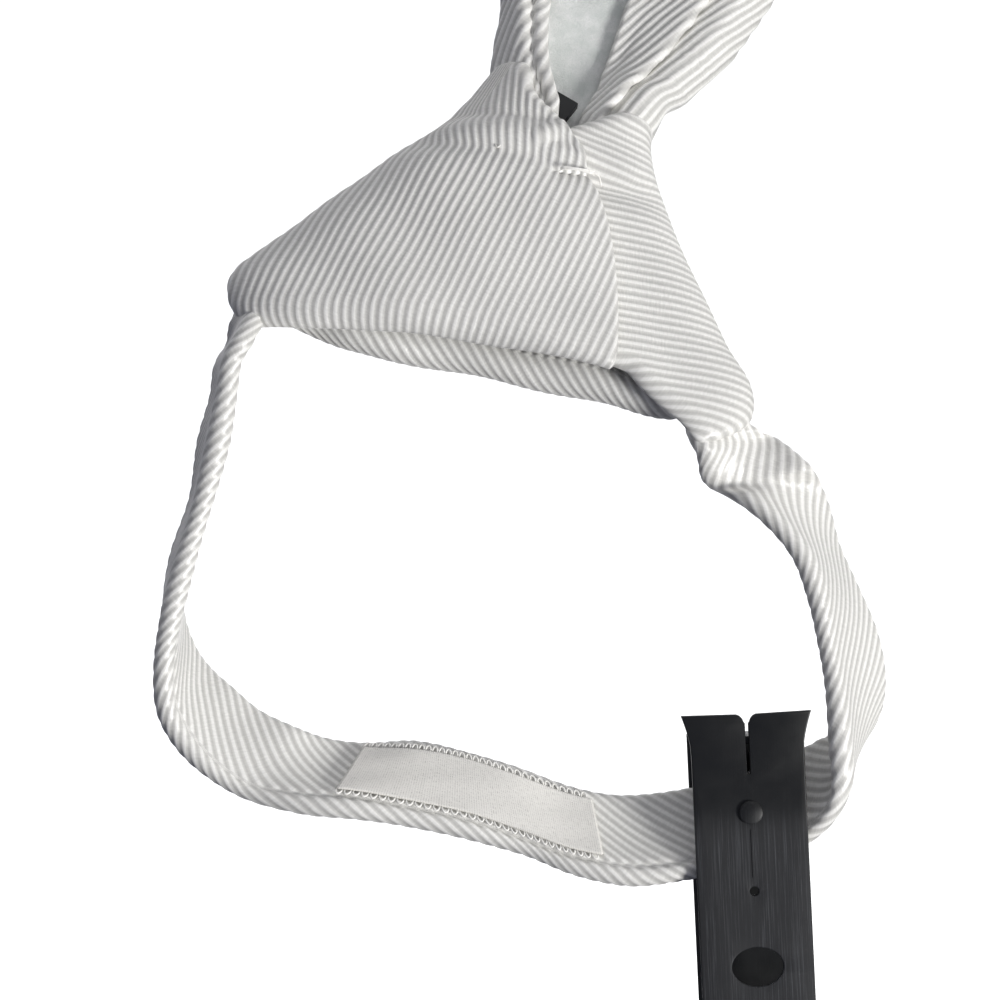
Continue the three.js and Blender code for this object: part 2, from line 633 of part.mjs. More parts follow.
// The strap: a front leg with a split fish tail, a back leg with a foot under the band, and the fold.
function buildStrap() {
  const half = strapWidth / 2;
  const tab = tabWidth / 2;
  const end = -strapFrontLength;
  const foldZ = -strapGap / 2;
  const front = new THREE.Shape();
  front.moveTo(-half, foldZ);
  front.lineTo(half, foldZ);
  front.lineTo(half, end + tabLength);
  front.quadraticCurveTo(half + tabSweep, end + tabLength * 0.5, tab, end);
  front.lineTo(tabNotchWidth / 2, end);
  front.lineTo(tabSlitWidth / 2, end + tabNotchDepth);
  front.lineTo(tabSlitWidth / 2, end + tabNotchDepth + tabSlitLength);
  front.lineTo(-tabSlitWidth / 2, end + tabNotchDepth + tabSlitLength);
  front.lineTo(-tabSlitWidth / 2, end + tabNotchDepth);
  front.lineTo(-tabNotchWidth / 2, end);
  front.lineTo(-tab, end);
  front.quadraticCurveTo(-half - tabSweep, end + tabLength * 0.5, -half, end + tabLength);
  front.closePath();
  const back = new THREE.Shape();
  back.moveTo(-half, foldZ);
  back.lineTo(half, foldZ);
  back.lineTo(half, -strapBackLength);
  back.lineTo(-half, -strapBackLength);
  back.closePath();
  const foot = new THREE.Shape();
  foot.moveTo(-footWidth / 2, -strapBackLength + strapWall);
  foot.lineTo(footWidth / 2, -strapBackLength + strapWall);
  foot.lineTo(footWidth / 2, -strapBackLength);
  foot.lineTo(-footWidth / 2, -strapBackLength);
  foot.closePath();
  const outerRadius = strapGap / 2 + strapWall;
  const fold = new THREE.Shape();
  fold.absarc(0, 0, outerRadius, 0, Math.PI, false);
  fold.absarc(0, 0, strapGap / 2, Math.PI, 0, true);
  fold.closePath();
  const options = { depth: strapWidth, bevelEnabled: false, curveSegments: 12 };
  const bend = new THREE.ExtrudeGeometry(fold, options);
  bend.rotateX(90 * degrees);
  bend.rotateZ(90 * degrees);
  bend.translate(-half, 0, foldZ);
  const outline = plateFrom(front, strapWall, -strapGap / 2 - strapWall)
    .add(plateFrom(back, strapWall, strapGap / 2))
    .add(plateFrom(foot, strapGap - clearance, -strapGap / 2 + clearance))
    .add(toSolid(bend))
    .subtract(roundHole(ovalHoleWidth, ovalHoleHeight, ovalHoleDrop))
    .subtract(roundHole(smallHoleDiameter, smallHoleDiameter, smallHoleDrop))
    .subtract(roundHole(studShankDiameter + 2 * clearance, studShankDiameter + 2 * clearance, studDrop));
  addPiece('hanger_strap', toGeometry(outline), 'blackPlastic');
}

function buildStud() {
  const shankEnd = 0.9375 * strapWall;
  const profile = [
    [0, -shankEnd], [studShankDiameter / 2, -shankEnd], [studShankDiameter / 2, clearance],
    [studDiameter / 2, clearance], [studDiameter / 2, clearance + studHead * 0.6],
    [studDiameter / 2 - studBevel, clearance + studHead], [0, clearance + studHead],
  ].map(([radius, out]) => new THREE.Vector2(radius, out));
  const stud = new THREE.LatheGeometry(profile, 24);
  stud.rotateX(180 * degrees);
  const mesh = addPiece('hanger_stud', stud, 'blackPlastic');
  mesh.position.set(0, -strapGap / 2 - strapWall, -studDrop);
}

buildWrap();
buildTopRoll();
buildFormer();
buildBand();
buildLabel();
buildBlade();
buildInterlining();
buildStrap();
buildStud();

export default tie;
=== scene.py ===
import math

import bpy
import numpy as np
from mathutils import Matrix, Vector


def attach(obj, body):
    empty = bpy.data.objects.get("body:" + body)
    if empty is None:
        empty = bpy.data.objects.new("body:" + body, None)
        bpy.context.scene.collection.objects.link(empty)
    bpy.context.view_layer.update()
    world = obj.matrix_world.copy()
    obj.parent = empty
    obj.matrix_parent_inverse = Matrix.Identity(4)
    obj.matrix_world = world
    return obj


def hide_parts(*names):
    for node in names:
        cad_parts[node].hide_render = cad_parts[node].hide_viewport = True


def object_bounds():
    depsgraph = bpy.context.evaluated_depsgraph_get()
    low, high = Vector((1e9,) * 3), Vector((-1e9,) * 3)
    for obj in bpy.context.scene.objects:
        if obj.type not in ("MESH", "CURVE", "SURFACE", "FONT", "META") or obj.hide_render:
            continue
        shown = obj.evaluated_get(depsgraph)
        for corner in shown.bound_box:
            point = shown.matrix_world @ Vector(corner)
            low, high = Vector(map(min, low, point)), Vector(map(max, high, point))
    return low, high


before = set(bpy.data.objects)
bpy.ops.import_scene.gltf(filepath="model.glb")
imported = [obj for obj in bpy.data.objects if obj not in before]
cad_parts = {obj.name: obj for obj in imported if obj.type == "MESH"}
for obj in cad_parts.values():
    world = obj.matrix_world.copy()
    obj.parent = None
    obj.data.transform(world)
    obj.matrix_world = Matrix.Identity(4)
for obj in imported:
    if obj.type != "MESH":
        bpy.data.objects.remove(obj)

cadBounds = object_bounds()
mm = 0.001
print("frame loaded, nodes:", len(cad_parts))


# Camera: 380 mm behind the tie, level, and turned over so that the strap is at the foot of the picture.
view = {"across": 23.3, "height": -61.7, "distance": 380.0, "field": 100.0, "turn": 2.68}


def addCamera():
    sensor = 36.0
    data = bpy.data.cameras.new("camera")
    data.sensor_width = sensor
    data.lens = sensor * view["distance"] / view["field"]
    data.clip_start = 0.01
    camera = bpy.data.objects.new("camera", data)
    bpy.context.scene.collection.objects.link(camera)
    turn = math.radians(view["turn"])
    right = Vector((-math.cos(turn), 0, math.sin(turn)))
    up = Vector((-math.sin(turn), 0, -math.cos(turn)))
    axes = Matrix((right, up, right.cross(up))).transposed().to_4x4()
    place = Vector((view["across"], -view["distance"], view["height"])) * mm
    camera.matrix_world = Matrix.Translation(place) @ axes
    bpy.context.scene.camera = camera


addCamera()


def smoothStep(low, high, value):
    t = np.clip((np.asarray(value, float) - low) / (high - low), 0, 1)
    return t * t * (3 - 2 * t)


def blend(a, b, t):
    return a + (b - a) * t


# The weights that join two points smoothly: of the first point, its slope, the second point and its slope.
def joinWeights(t):
    return 2 * t**3 - 3 * t**2 + 1, t**3 - 2 * t**2 + t, 3 * t**2 - 2 * t**3, t**3 - t**2


# Rows of a table, each a dictionary of the named columns.
def tableOf(names, *rows):
    return [dict(zip(names.split(), row)) for row in rows]


# A smooth value from a table, read by one column and given by another.
def fromTable(rows, by, name, at):
    x = np.array([row[by] for row in rows], float)
    y = np.array([row[name] for row in rows], float)
    last = len(x) - 1
    low = np.maximum(np.arange(last + 1) - 1, 0)
    high = np.minimum(np.arange(last + 1) + 1, last)
    slope = (y[high] - y[low]) / (x[high] - x[low])
    at = np.clip(np.asarray(at, float), x[0], x[-1])
    k = np.clip(np.searchsorted(x, at, side="right") - 1, 0, last - 1)
    run = x[k + 1] - x[k]
    start, leave, end, arrive = joinWeights((at - x[k]) / run)
    return y[k] * start + slope[k] * run * leave + y[k + 1] * end + slope[k + 1] * run * arrive


def unit(vectors):
    return vectors / np.maximum(np.linalg.norm(vectors, axis=-1, keepdims=True), 1e-12)


# The height of a raised rib about its mean, at a distance across the ribs counted in ribs.
def ribShape(phase):
    return (0.5 - 0.5 * np.cos(2 * math.pi * phase)) ** 0.8 - 0.6


curveSteps = 24  # points from one chosen point of a smooth line to the next


def curveThrough(points):
    points = np.asarray(points, float)
    padded = np.vstack([2 * points[0] - points[1], points, 2 * points[-1] - points[-2]])
    start, leave, end, arrive = joinWeights(np.linspace(0, 1, curveSteps, endpoint=False)[:, None])
    line = []
    for i in range(1, len(padded) - 2):
        p0, p1, p2, p3 = padded[i - 1 : i + 3]
        k0, k1, k2 = (max(math.sqrt(np.linalg.norm(b - a)), 1e-6) for a, b in ((p0, p1), (p1, p2), (p2, p3)))
        m1 = ((p1 - p0) / k0 - (p2 - p0) / (k0 + k1) + (p2 - p1) / k1) * k1
        m2 = ((p2 - p1) / k1 - (p3 - p1) / (k1 + k2) + (p3 - p2) / k2) * k1
        line.append(p1 * start + m1 * leave + p2 * end + m2 * arrive)
    return np.vstack(line + [points[-1:]])


# The distance walked along a line at each of its points.
def walkLine(line):
    return np.concatenate([[0], np.cumsum(np.linalg.norm(np.diff(line, axis=0), axis=1))])


# A line whose points are known at some places, read at others.
def readLine(at, known, line):
    return np.stack([np.interp(at, known, column) for column in line.T], axis=-1)


# A smooth line through chosen points, and as many even steps along it as asked, counted in its points.
def evenSteps(points, count):
    fine = curveThrough(points)
    reached = walkLine(fine)
    return fine, np.interp(np.linspace(0, reached[-1], count), reached, np.arange(len(fine)))


def pointsAt(fine, steps):
    return readLine(steps, np.arange(len(fine)), fine)


def smoothLine(points, count):
    return pointsAt(*evenSteps(points, count))


def newPiece(name, points, faces, material, nodes=()):
    mesh = bpy.data.meshes.new(name)
    mesh.from_pydata((np.asarray(points) * mm).tolist(), [], faces)
    mesh.validate()
    mesh.update()
    piece = bpy.data.objects.new(name, mesh)
    bpy.context.scene.collection.objects.link(piece)
    mesh.shade_smooth()
    finishPiece(piece, material, nodes)
    return piece


def finishPiece(piece, material, nodes=()):
    piece.data.materials.clear()
    piece.data.materials.append(material)
    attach(piece, "root")
    if nodes:
        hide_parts(*nodes)


# The cloth's own coordinates in mm: across the ribs and along them.
def setRibMap(piece, across, along, bump=None):
    mesh = piece.data
    corner = np.empty(len(mesh.loops), int)
    mesh.loops.foreach_get("vertex_index", corner)
    layer = mesh.uv_layers.new(name="ribs")
    both = np.stack([across[corner], along[corner]], axis=1).astype(np.float32)
    layer.data.foreach_set("uv", both.ravel())
    drawn = mesh.attributes.new("ribBump", "FLOAT", "POINT")
    values = np.zeros(len(mesh.vertices), np.float32) if bump is None else bump.astype(np.float32)
    drawn.data.foreach_set("value", values)


# A closed cloth wall: a fine outer grid, and an inner grid with fewer faces that shares its rim.
def wallFaces(rows, columns, step):
    index = np.arange(rows * columns).reshape(rows, columns)
    a, b, c, d = index[:-1, :-1], index[:-1, 1:], index[1:, 1:], index[1:, :-1]
    faces = np.stack([a, b, c, d], axis=-1).reshape(-1, 4).tolist()
    pickRows = sorted(set(list(range(0, rows, step)) + [rows - 1]))
    pickColumns = sorted(set(list(range(0, columns, step)) + [columns - 1]))
    inner = {}
    picked = []
    for i in pickRows[1:-1]:
        for j in pickColumns[1:-1]:
            inner[(i, j)] = rows * columns + len(picked)
            picked.append((i, j))
    at = lambda i, j: inner.get((i, j), i * columns + j)
    for i0, i1 in zip(pickRows, pickRows[1:]):
        for j0, j1 in zip(pickColumns, pickColumns[1:]):
            face = [at(i0, j0)]
            face += [i * columns for i in range(i0 + 1, i1)] if j0 == 0 else []
            face += [at(i1, j0)]
            face += [i1 * columns + j for j in range(j0 + 1, j1)] if i1 == rows - 1 else []
            face += [at(i1, j1)]
            face += [i * columns + j1 for i in range(i1 - 1, i0, -1)] if j1 == columns - 1 else []
            face += [at(i0, j1)]
            face += [i0 * columns + j for j in range(j1 - 1, j0, -1)] if i0 == 0 else []
            faces.append(face)
    return faces, picked


def gridNormals(grid):
    down = np.gradient(grid, axis=0)
    along = np.gradient(grid, axis=1)
    return unit(np.cross(along, down))


# Fills the wall round a middle sheet: half its thickness each way, with a round rim.
def addWall(name, middle, normals, half, toRim, across, along, ribs, material, nodes, bump=None):
    step = 4  # outer faces to one inner face
    rim = np.clip(toRim / half, 0, 1)
    thick = half * np.sqrt(np.clip(1 - (1 - rim) ** 2, 0, 1))
    rise = ribs * ribShape(across) * smoothStep(0.2, 1.0, toRim / half)
    outer = middle + normals * (thick + rise)[..., None]
    rows, columns = toRim.shape
    faces, picked = wallFaces(rows, columns, step)
    pick = tuple(np.array(picked).T)
    innerPoints = (middle - normals * thick[..., None])[pick]
    points = np.vstack([outer.reshape(-1, 3), innerPoints])
    middleRow, middleColumn = rows // 2, columns // 2
    a, b, d = (outer[middleRow + i, middleColumn + j] for i, j in ((0, 0), (0, 3), (3, 0)))
    if np.dot(np.cross(b - a, d - a), normals[middleRow, middleColumn]) < 0:
        faces = [face[::-1] for face in faces]
    piece = newPiece(name, points, faces, material, nodes)
    spread = lambda values: np.concatenate([values.ravel(), values[pick]])
    setRibMap(piece, spread(across), spread(along), None if bump is None else spread(bump))
    return piece


# A closed tube through rings of points.
def tubeFaces(rings, around):
    index = np.arange(rings * around).reshape(rings, around)
    after = np.roll(index, -1, axis=1)
    sides = np.stack([index[:-1], after[:-1], after[1:], index[1:]], axis=-1).reshape(-1, 4).tolist()
    return sides + [index[0, ::-1].tolist(), index[-1].tolist()]


# Colours are written as sRGB hex values.
def linear(hexColour):
    value = [int(hexColour[i : i + 2], 16) / 255 for i in (1, 3, 5)]
    return [c / 12.92 if c <= 0.04045 else ((c + 0.055) / 1.055) ** 2.4 for c in value] + [1.0]


# Each input takes a value, a socket or a node, whose first output is then meant.
def setInputs(node, inputs):
    for key, value in inputs.items():
        if isinstance(value, bpy.types.Node):
            value = value.outputs[0]
        if isinstance(value, bpy.types.NodeSocket):
            node.id_data.links.new(value, node.inputs[key])
        else:
            node.inputs[key].default_value = value


def addNode(tree, kind, settings=None, inputs=None, stops=None):
    node = tree.nodes.new("ShaderNode" + kind)
    for key, value in (settings or {}).items():
        setattr(node, key, value)
    setInputs(node, inputs or {})
    if stops:  # a ramp's colours by their places, in place of its own black and white ends
        elements = node.color_ramp.elements
        for place, colour in stops.items():
            elements.new(place).color = linear(colour)
        elements.remove(elements[-1])
        elements.remove(elements[0])
    return node


def newMaterial(name):
    material = bpy.data.materials.new(name)
    material.use_nodes = True
    tree = material.node_tree
    tree.nodes.clear()
    shader = addNode(tree, "BsdfPrincipled")
    addNode(tree, "OutputMaterial", inputs={"Surface": shader})
    return material, tree, shader


# White ribbed satin of polyester, fine threads: the bright silky crests are a painted highlight and the
# greyer ground in the grooves is painted shade.
ribSatin = {
    "crest": "#fbfaf6", "ground": "#dfded9", "groove": "#cccbc7",
    "roughness": 0.37, "sheen": 0.25, "ior": 1.5,
    "threads": 5.0,  # fine threads to the mm, drawn a little coarse to show
    "ribRelief": 0.2,  # mm, for the cloth whose ribs are drawn
    "ribShare": 4.0,  # the drawn ribs' part of the relief, where the threads' part is 1
}


def makeRibSatin():
    material, tree, shader = newMaterial("wovenRibSatin")
    cloth = addNode(tree, "UVMap", {"uv_map": "ribs"})
    parts = addNode(tree, "SeparateXYZ", inputs={0: cloth})
    turn = addNode(tree, "Math", {"operation": "MULTIPLY"}, {0: parts, 1: math.pi})
    wave = addNode(tree, "Math", {"operation": "SINE"}, {0: turn})
    rib = addNode(tree, "Math", {"operation": "ABSOLUTE"}, {0: wave})
    # threads lie across the rib: short over its crest and packed close along it
    stretch = addNode(tree, "Mapping", inputs={0: cloth, "Scale": (1.3, ribSatin["threads"], 1)})
    strands = addNode(tree, "TexNoise",
                      inputs={"Vector": stretch, "Scale": 1.0, "Detail": 3.0, "Roughness": 0.6})
    binding = addNode(tree, "Mapping", inputs={0: cloth, "Scale": (6.0, 1.1, 1)})
    knots = addNode(tree, "TexNoise", inputs={"Vector": binding, "Scale": 1.0, "Detail": 2.0})
    # painted highlight on the rib crests and painted shade in the grooves, set by the place across each rib
    ramp = addNode(tree, "ValToRGB", inputs={0: rib},
                   stops={0.1: ribSatin["groove"], 0.7: ribSatin["ground"], 0.92: ribSatin["crest"]})
    place = addNode(tree, "TexCoord").outputs["Object"]
    cloud = addNode(tree, "TexNoise", inputs={"Vector": place, "Scale": 90.0, "Detail": 2.0})
    tone = addNode(tree, "MapRange", inputs={"Value": cloud, "To Min": 0.93, "To Max": 1.02})
    thread = addNode(tree, "MapRange", inputs={"Value": strands, "From Min": 0.3, "From Max": 0.7,
                                               "To Min": 0.86, "To Max": 1.03})
    both = addNode(tree, "Math", {"operation": "MULTIPLY"}, {0: tone, 1: thread})
    colour = addNode(tree, "Mix", {"data_type": "RGBA", "blend_type": "MULTIPLY"}, {0: 1.0, 6: ramp, 7: both})
    drawn = addNode(tree, "Attribute", {"attribute_name": "ribBump"})
    raised = addNode(tree, "Math", {"operation": "MULTIPLY"}, {0: rib, 1: drawn.outputs["Fac"]})
    relief = addNode(tree, "Math", {"operation": "MULTIPLY"}, {0: raised, 1: ribSatin["ribShare"]})
    grain = addNode(tree, "Math", {"operation": "ADD"}, {0: strands, 1: knots})
    height = addNode(tree, "Math", {"operation": "ADD"}, {0: grain, 1: relief})
    distance = ribSatin["ribRelief"] / ribSatin["ribShare"] * mm
    bump = addNode(tree, "Bump", inputs={"Height": height, "Strength": 0.5, "Distance": distance})
    setInputs(shader, {"Base Color": colour.outputs[2], "Normal": bump, "Roughness": ribSatin["roughness"],
                       "IOR": ribSatin["ior"], "Sheen Weight": ribSatin["sheen"], "Sheen Roughness": 0.4,
                       "Specular IOR Level": 0.75})
    return material


# Needled felt of wool and viscose: soft, matt, grey-white, with short tangled fibres.
felt = {"light": "#fbfcfa", "dark": "#dfe4e0", "fibre": 0.3, "clump": 2.2}  # mm


def makeFelt():
    material, tree, shader = newMaterial("needledFelt")
    place = addNode(tree, "TexCoord").outputs["Object"]
    fine, coarse = (1 / (felt[size] * mm) for size in ("fibre", "clump"))
    fibres = addNode(tree, "TexNoise", inputs={"Vector": place, "Scale": fine, "Detail": 6.0,
                                               "Roughness": 0.75, "Distortion": 1.5})
    clumps = addNode(tree, "TexNoise", inputs={"Vector": place, "Scale": coarse, "Detail": 3.0})
    mixed = addNode(tree, "Math", {"operation": "MULTIPLY"}, {0: fibres, 1: clumps})
    ramp = addNode(tree, "ValToRGB", inputs={0: mixed}, stops={0.16: felt["dark"], 0.36: felt["light"]})
    bump = addNode(tree, "Bump", inputs={"Height": fibres, "Strength": 0.9, "Distance": 0.2 * mm})
    setInputs(shader, {"Base Color": ramp, "Normal": bump, "Roughness": 0.95, "Specular IOR Level": 0.2,
                       "Sheen Weight": 0.3})
    return material


# Woven acetate ribbon: smooth warm-white satin with fine cross threads.
ribbon = {"light": "#eeece6", "dark": "#bdbbb5", "pick": 0.22}  # mm between cross threads


def makeRibbon():
    material, tree, shader = newMaterial("wovenRibbonSatin")
    cloth = addNode(tree, "UVMap", {"uv_map": "ribs"})
    picks = addNode(tree, "TexWave", {"wave_type": "BANDS", "bands_direction": "X"},
                    {0: cloth, "Scale": 2 * math.pi / 20 / ribbon["pick"], "Distortion": 1.2, "Detail": 2.0,
                     "Detail Scale": 1.5})
    stretch = addNode(tree, "Mapping", inputs={0: cloth, "Scale": (1.0, 6.0, 1)})
    warp = addNode(tree, "TexNoise", inputs={"Vector": stretch, "Scale": 1.5, "Detail": 4.0})
    mixed = addNode(tree, "Math", {"operation": "MULTIPLY_ADD"}, {0: picks, 1: 0.35, 2: warp})
    ramp = addNode(tree, "ValToRGB", inputs={0: mixed}, stops={0.3: ribbon["dark"], 0.62: ribbon["light"]})
    bump = addNode(tree, "Bump", inputs={"Height": mixed, "Strength": 0.6, "Distance": 0.05 * mm})
    setInputs(shader, {"Base Color": ramp, "Normal": bump, "Roughness": 0.38, "Sheen Weight": 0.2})
    return material


# Spun polyester thread, white and a little glossy.
def makeThread():
    material, tree, shader = newMaterial("spunPolyesterThread")
    place = addNode(tree, "TexCoord").outputs["Object"]
    twist = addNode(tree, "TexNoise", inputs={"Vector": place, "Scale": 5000.0, "Detail": 2.0})  # 0.2 mm
    ramp = addNode(tree, "ValToRGB", inputs={0: twist}, stops={0.35: "#eeece6", 0.6: "#fbfaf6"})
    bump = addNode(tree, "Bump", inputs={"Height": twist, "Strength": 0.4, "Distance": 0.03 * mm})
    setInputs(shader, {"Base Color": ramp, "Normal": bump, "Roughness": 0.5})
    return material


# Injection-moulded polypropylene, black: smooth where it is new; where it is handled it has fine lengthwise
# scratches, and there its grey tone is a painted reflection. That part begins between two heights and lies on
# the strap's outer side.
plastic = {"new": "#07090b", "scuffAndReflection": "#1d1e21", "scratch": "#505256", "ior": 1.49,
           "scuffAndReflectionHeights": (-31.0, -26.0), "scuffAndReflectionOutside": (-3.2, -4.0)}  # mm


def makePlastic(name, scuffAndReflectionHeights):
    material, tree, shader = newMaterial(name)
    place = addNode(tree, "TexCoord").outputs["Object"]
    parts = addNode(tree, "SeparateXYZ", inputs={0: place})
    low, high, near, far = (limit * mm for limit in (*scuffAndReflectionHeights, *plastic["scuffAndReflectionOutside"]))
    above = addNode(tree, "MapRange", {"interpolation_type": "SMOOTHSTEP"},
                    {"Value": parts.outputs[2], "From Min": low, "From Max": high})
    outside = addNode(tree, "MapRange", inputs={"Value": parts.outputs[1], "From Min": near, "From Max": far})
    scuffAndReflection = addNode(tree, "Math", {"operation": "MULTIPLY"}, {0: above, 1: outside})
    # scratches run up the strap: 0.15 mm apart, 12 mm long
    stretch = addNode(tree, "Mapping", inputs={0: place, "Scale": (6500, 900, 90)})
    lines = addNode(tree, "TexNoise",
                    inputs={"Vector": stretch, "Scale": 1.0, "Detail": 5.0, "Roughness": 0.7})
    sharp = addNode(tree, "MapRange", inputs={"Value": lines, "From Min": 0.5, "From Max": 0.78})
    seen = addNode(tree, "Math", {"operation": "MULTIPLY"}, {0: sharp, 1: scuffAndReflection})
    mottle = addNode(tree, "TexNoise", inputs={"Vector": place, "Scale": 700.0, "Detail": 4.0})
    # the grey base tone of the handled part is a painted reflection; the scratches over it are wear
    base = addNode(tree, "Mix", {"data_type": "RGBA"},
                   {0: scuffAndReflection, 6: linear(plastic["new"]), 7: linear(plastic["scuffAndReflection"])})
    scuffed = addNode(tree, "Mix", {"data_type": "RGBA"},
                      {0: seen, 6: base.outputs[2], 7: linear(plastic["scratch"])})
    rough = addNode(tree, "MapRange", inputs={"Value": scuffAndReflection, "To Min": 0.34, "To Max": 0.6})
    roughness = addNode(tree, "Math", {"operation": "MULTIPLY_ADD"}, {0: mottle, 1: 0.15, 2: rough})
    height = addNode(tree, "Math", {"operation": "MULTIPLY_ADD"}, {0: mottle, 1: 0.3, 2: lines})
    bump = addNode(tree, "Bump", inputs={"Height": height, "Strength": 0.25, "Distance": 0.03 * mm})
    setInputs(shader, {"Base Color": scuffed.outputs[2], "Roughness": roughness, "Normal": bump,
                       "IOR": plastic["ior"]})
    return material


ribSatinCloth = makeRibSatin()
feltCloth = makeFelt()
ribbonCloth = makeRibbon()
sewingThread = makeThread()
strapPlastic = makePlastic("mouldedPolypropylene", plastic["scuffAndReflectionHeights"])
smoothPlastic = makePlastic("mouldedPolypropyleneNew", (9, 10))  # no part is that high, so none is scuffed and none has the painted reflection
print("materials made")


# Knot: lengths in mm. Its own axes are x along its top edge, y through it and z up its length.
loop = {"width": 67.0, "height": 50.0, "gripDrop": 25.4}
knot = {
    "width": 53.5, "height": 35.0, "depth": 12.4, "roll": 14.6, "tilt": 30.0, "wall": 1.2, "overlap": 7.0,
    "clearance": 0.35, "across": 0.348 * loop["width"], "base": -loop["gripDrop"] - 0.994 * loop["height"],
    "topRound": 2.0, "mouthRound": 0.9, "ribRise": 0.125, "pitch": 0.92,
    "coneTip": 50.0, "ribLean": 12.5, "rightLean": 14.0,  # mm down to the ribs' cone's tip, and degrees
    "leftRibs": 0.9, "rightRibs": 0.14,  # how far round the knot each back panel's ribs have their lean
    "bendDown": 22.0, "bendRate": 1.3, "tackDown": 21.2, "columns": 540, "rows": 158,
}

knotOutline = tableOf(
    "down plus minus deep",
    (-0.15, 0.90, 0.90, 0.88), (0.00, 1.00, 0.98, 0.94), (0.10, 1.04, 0.96, 0.97), (0.20, 0.96, 0.86, 0.97),
    (0.32, 0.84, 0.76, 1.00), (0.46, 0.71, 0.65, 0.98), (0.60, 0.57, 0.55, 0.94), (0.73, 0.43, 0.47, 0.90),
    (0.87, 0.32, 0.42, 0.87), (1.06, 0.22, 0.42, 0.84),
)

# Where the left back panel ends over the right one, in shares of the half width.
seamLine = tableOf(
    "down at",
    (-0.05, -0.458), (0.05, -0.447), (0.21, -0.418), (0.345, -0.381), (0.46, -0.330), (0.54, -0.281),
    (0.60, -0.240), (0.654, -0.199), (0.72, -0.160), (0.762, -0.100), (0.83, -0.036), (0.90, 0.03),
    (1.05, 0.06),
)

# The wrap's top and mouth edges by how far round the knot they are: 0 is under the left back panel,
# 0.25 the minus side, 0.5 the middle of the front, 0.75 the plus side and 1 the seam.
wrapEdges = tableOf(
    "round top mouth",
    (0.00, 0.00, 0.70), (0.064, 0.00, 0.76), (0.097, 0.00, 0.80), (0.149, 0.00, 0.855), (0.185, 0.00, 0.895),
    (0.25, 0.035, 0.92), (0.38, -0.07, 0.94), (0.50, -0.10, 0.98), (0.62, -0.07, 1.01), (0.75, 0.025, 1.02),
    (0.82, 0.034, 1.03), (0.87, 0.012, 1.02), (0.91, -0.008, 0.985), (0.95, -0.016, 0.905),
    (0.975, -0.013, 0.85), (1.00, -0.004, 0.79),
)

# The right back panel's top edge, by mm across the knot.
rightEdge = tableOf(
    "across top",
    (-26.4, 0.03), (-26.2, 0.035), (-25.9, 0.062), (-25.3, 0.094), (-24.8, 0.114), (-24.2, 0.119),
    (-23.4, 0.103), (-21.8, 0.073), (-19.1, 0.037), (-16.7, 0.00), (-14.4, -0.04), (-4.0, -0.05),
)

# Folds of the back panels at the tack: mm deep, mm down the knot, and mm wide. The arch runs round a point.
folds = {
    "drawnIn": (0.45, 22.3, 1.4), "crest": (-0.3, 24.8, 1.3), "lower": (0.3, 27.2, 1.0),
    "tackBed": (0.5, knot["tackDown"], 0.5), "archCrest": (-0.22, 2.9, 0.6),
    "hollow": (0.9, 21.4, 1.7), "hollowCrest": (-0.3, 25.2, 1.5),
}


def knotSection(down):
    half = knot["width"] / 2
    plus = fromTable(knotOutline, "down", "plus", down) * half
    minus = fromTable(knotOutline, "down", "minus", down) * half
    deep = fromTable(knotOutline, "down", "deep", down) * knot["depth"] / 2
    return (plus - minus) / 2, (plus + minus) / 2, deep


def knotTurn(size):
    roll, tilt = math.radians(knot["roll"]), math.radians(knot["tilt"])
    return Matrix.Rotation(roll, size, "Y") @ Matrix.Rotation(tilt, size, "X")


def knotToFrame(points):
    return points @ np.array(knotTurn(3)).T + np.array([knot["across"], 0, knot["base"]])


# The angle round the knot at a share of the way round.
def wrapAngle(share, down):
    centre, wide, _ = knotSection(down)
    seam = fromTable(seamLine, "down", "at", down) * knot["width"] / 2
    angleAt = lambda x: np.arccos(np.clip((x - centre) / wide, -1, 1))
    start, end = -angleAt(seam + knot["overlap"]), -2 * math.pi - angleAt(seam)
    first = blend(start, -math.pi, np.clip(share / 0.25, 0, 1))
    middle = -math.pi - math.pi * (share - 0.25) / 0.5
    last = blend(-2 * math.pi, end, np.clip((share - 0.75) / 0.25, 0, 1))
    return np.where(share < 0.25, first, np.where(share < 0.75, middle, last))


# The distance walked round the knot's section, along the last axis of the angles.
def walkRound(angle, wide, deep):
    stride = np.hypot(wide * np.sin(angle), deep * np.cos(angle))
    steps = 0.5 * (stride[..., 1:] + stride[..., :-1]) * np.abs(np.diff(angle))
    return np.concatenate([np.zeros_like(angle[..., :1]), np.cumsum(steps, axis=-1)], axis=-1)


# Shares of the way round, an even distance apart at the height where the knot is deepest.
def wrapColumns():
    widest = 0.3
    coarse = np.linspace(0, 1, 4001)
    _, wide, deep = knotSection(widest)
    reached = walkRound(wrapAngle(coarse, widest), wide, deep)
    return np.interp(np.linspace(0, reached[-1], knot["columns"]), reached, coarse)


# Levels from the top edge to the mouth, close together at both rims.
def wrapLevels():
    rim = np.array([0, 0.04, 0.12, 0.26, 0.46]) / knot["height"]
    first = 0.7 / knot["height"]
    inside = np.linspace(first, 1 - first, knot["rows"] - 2 * len(rim))
    return np.concatenate([rim, inside, 1 - rim[::-1]])


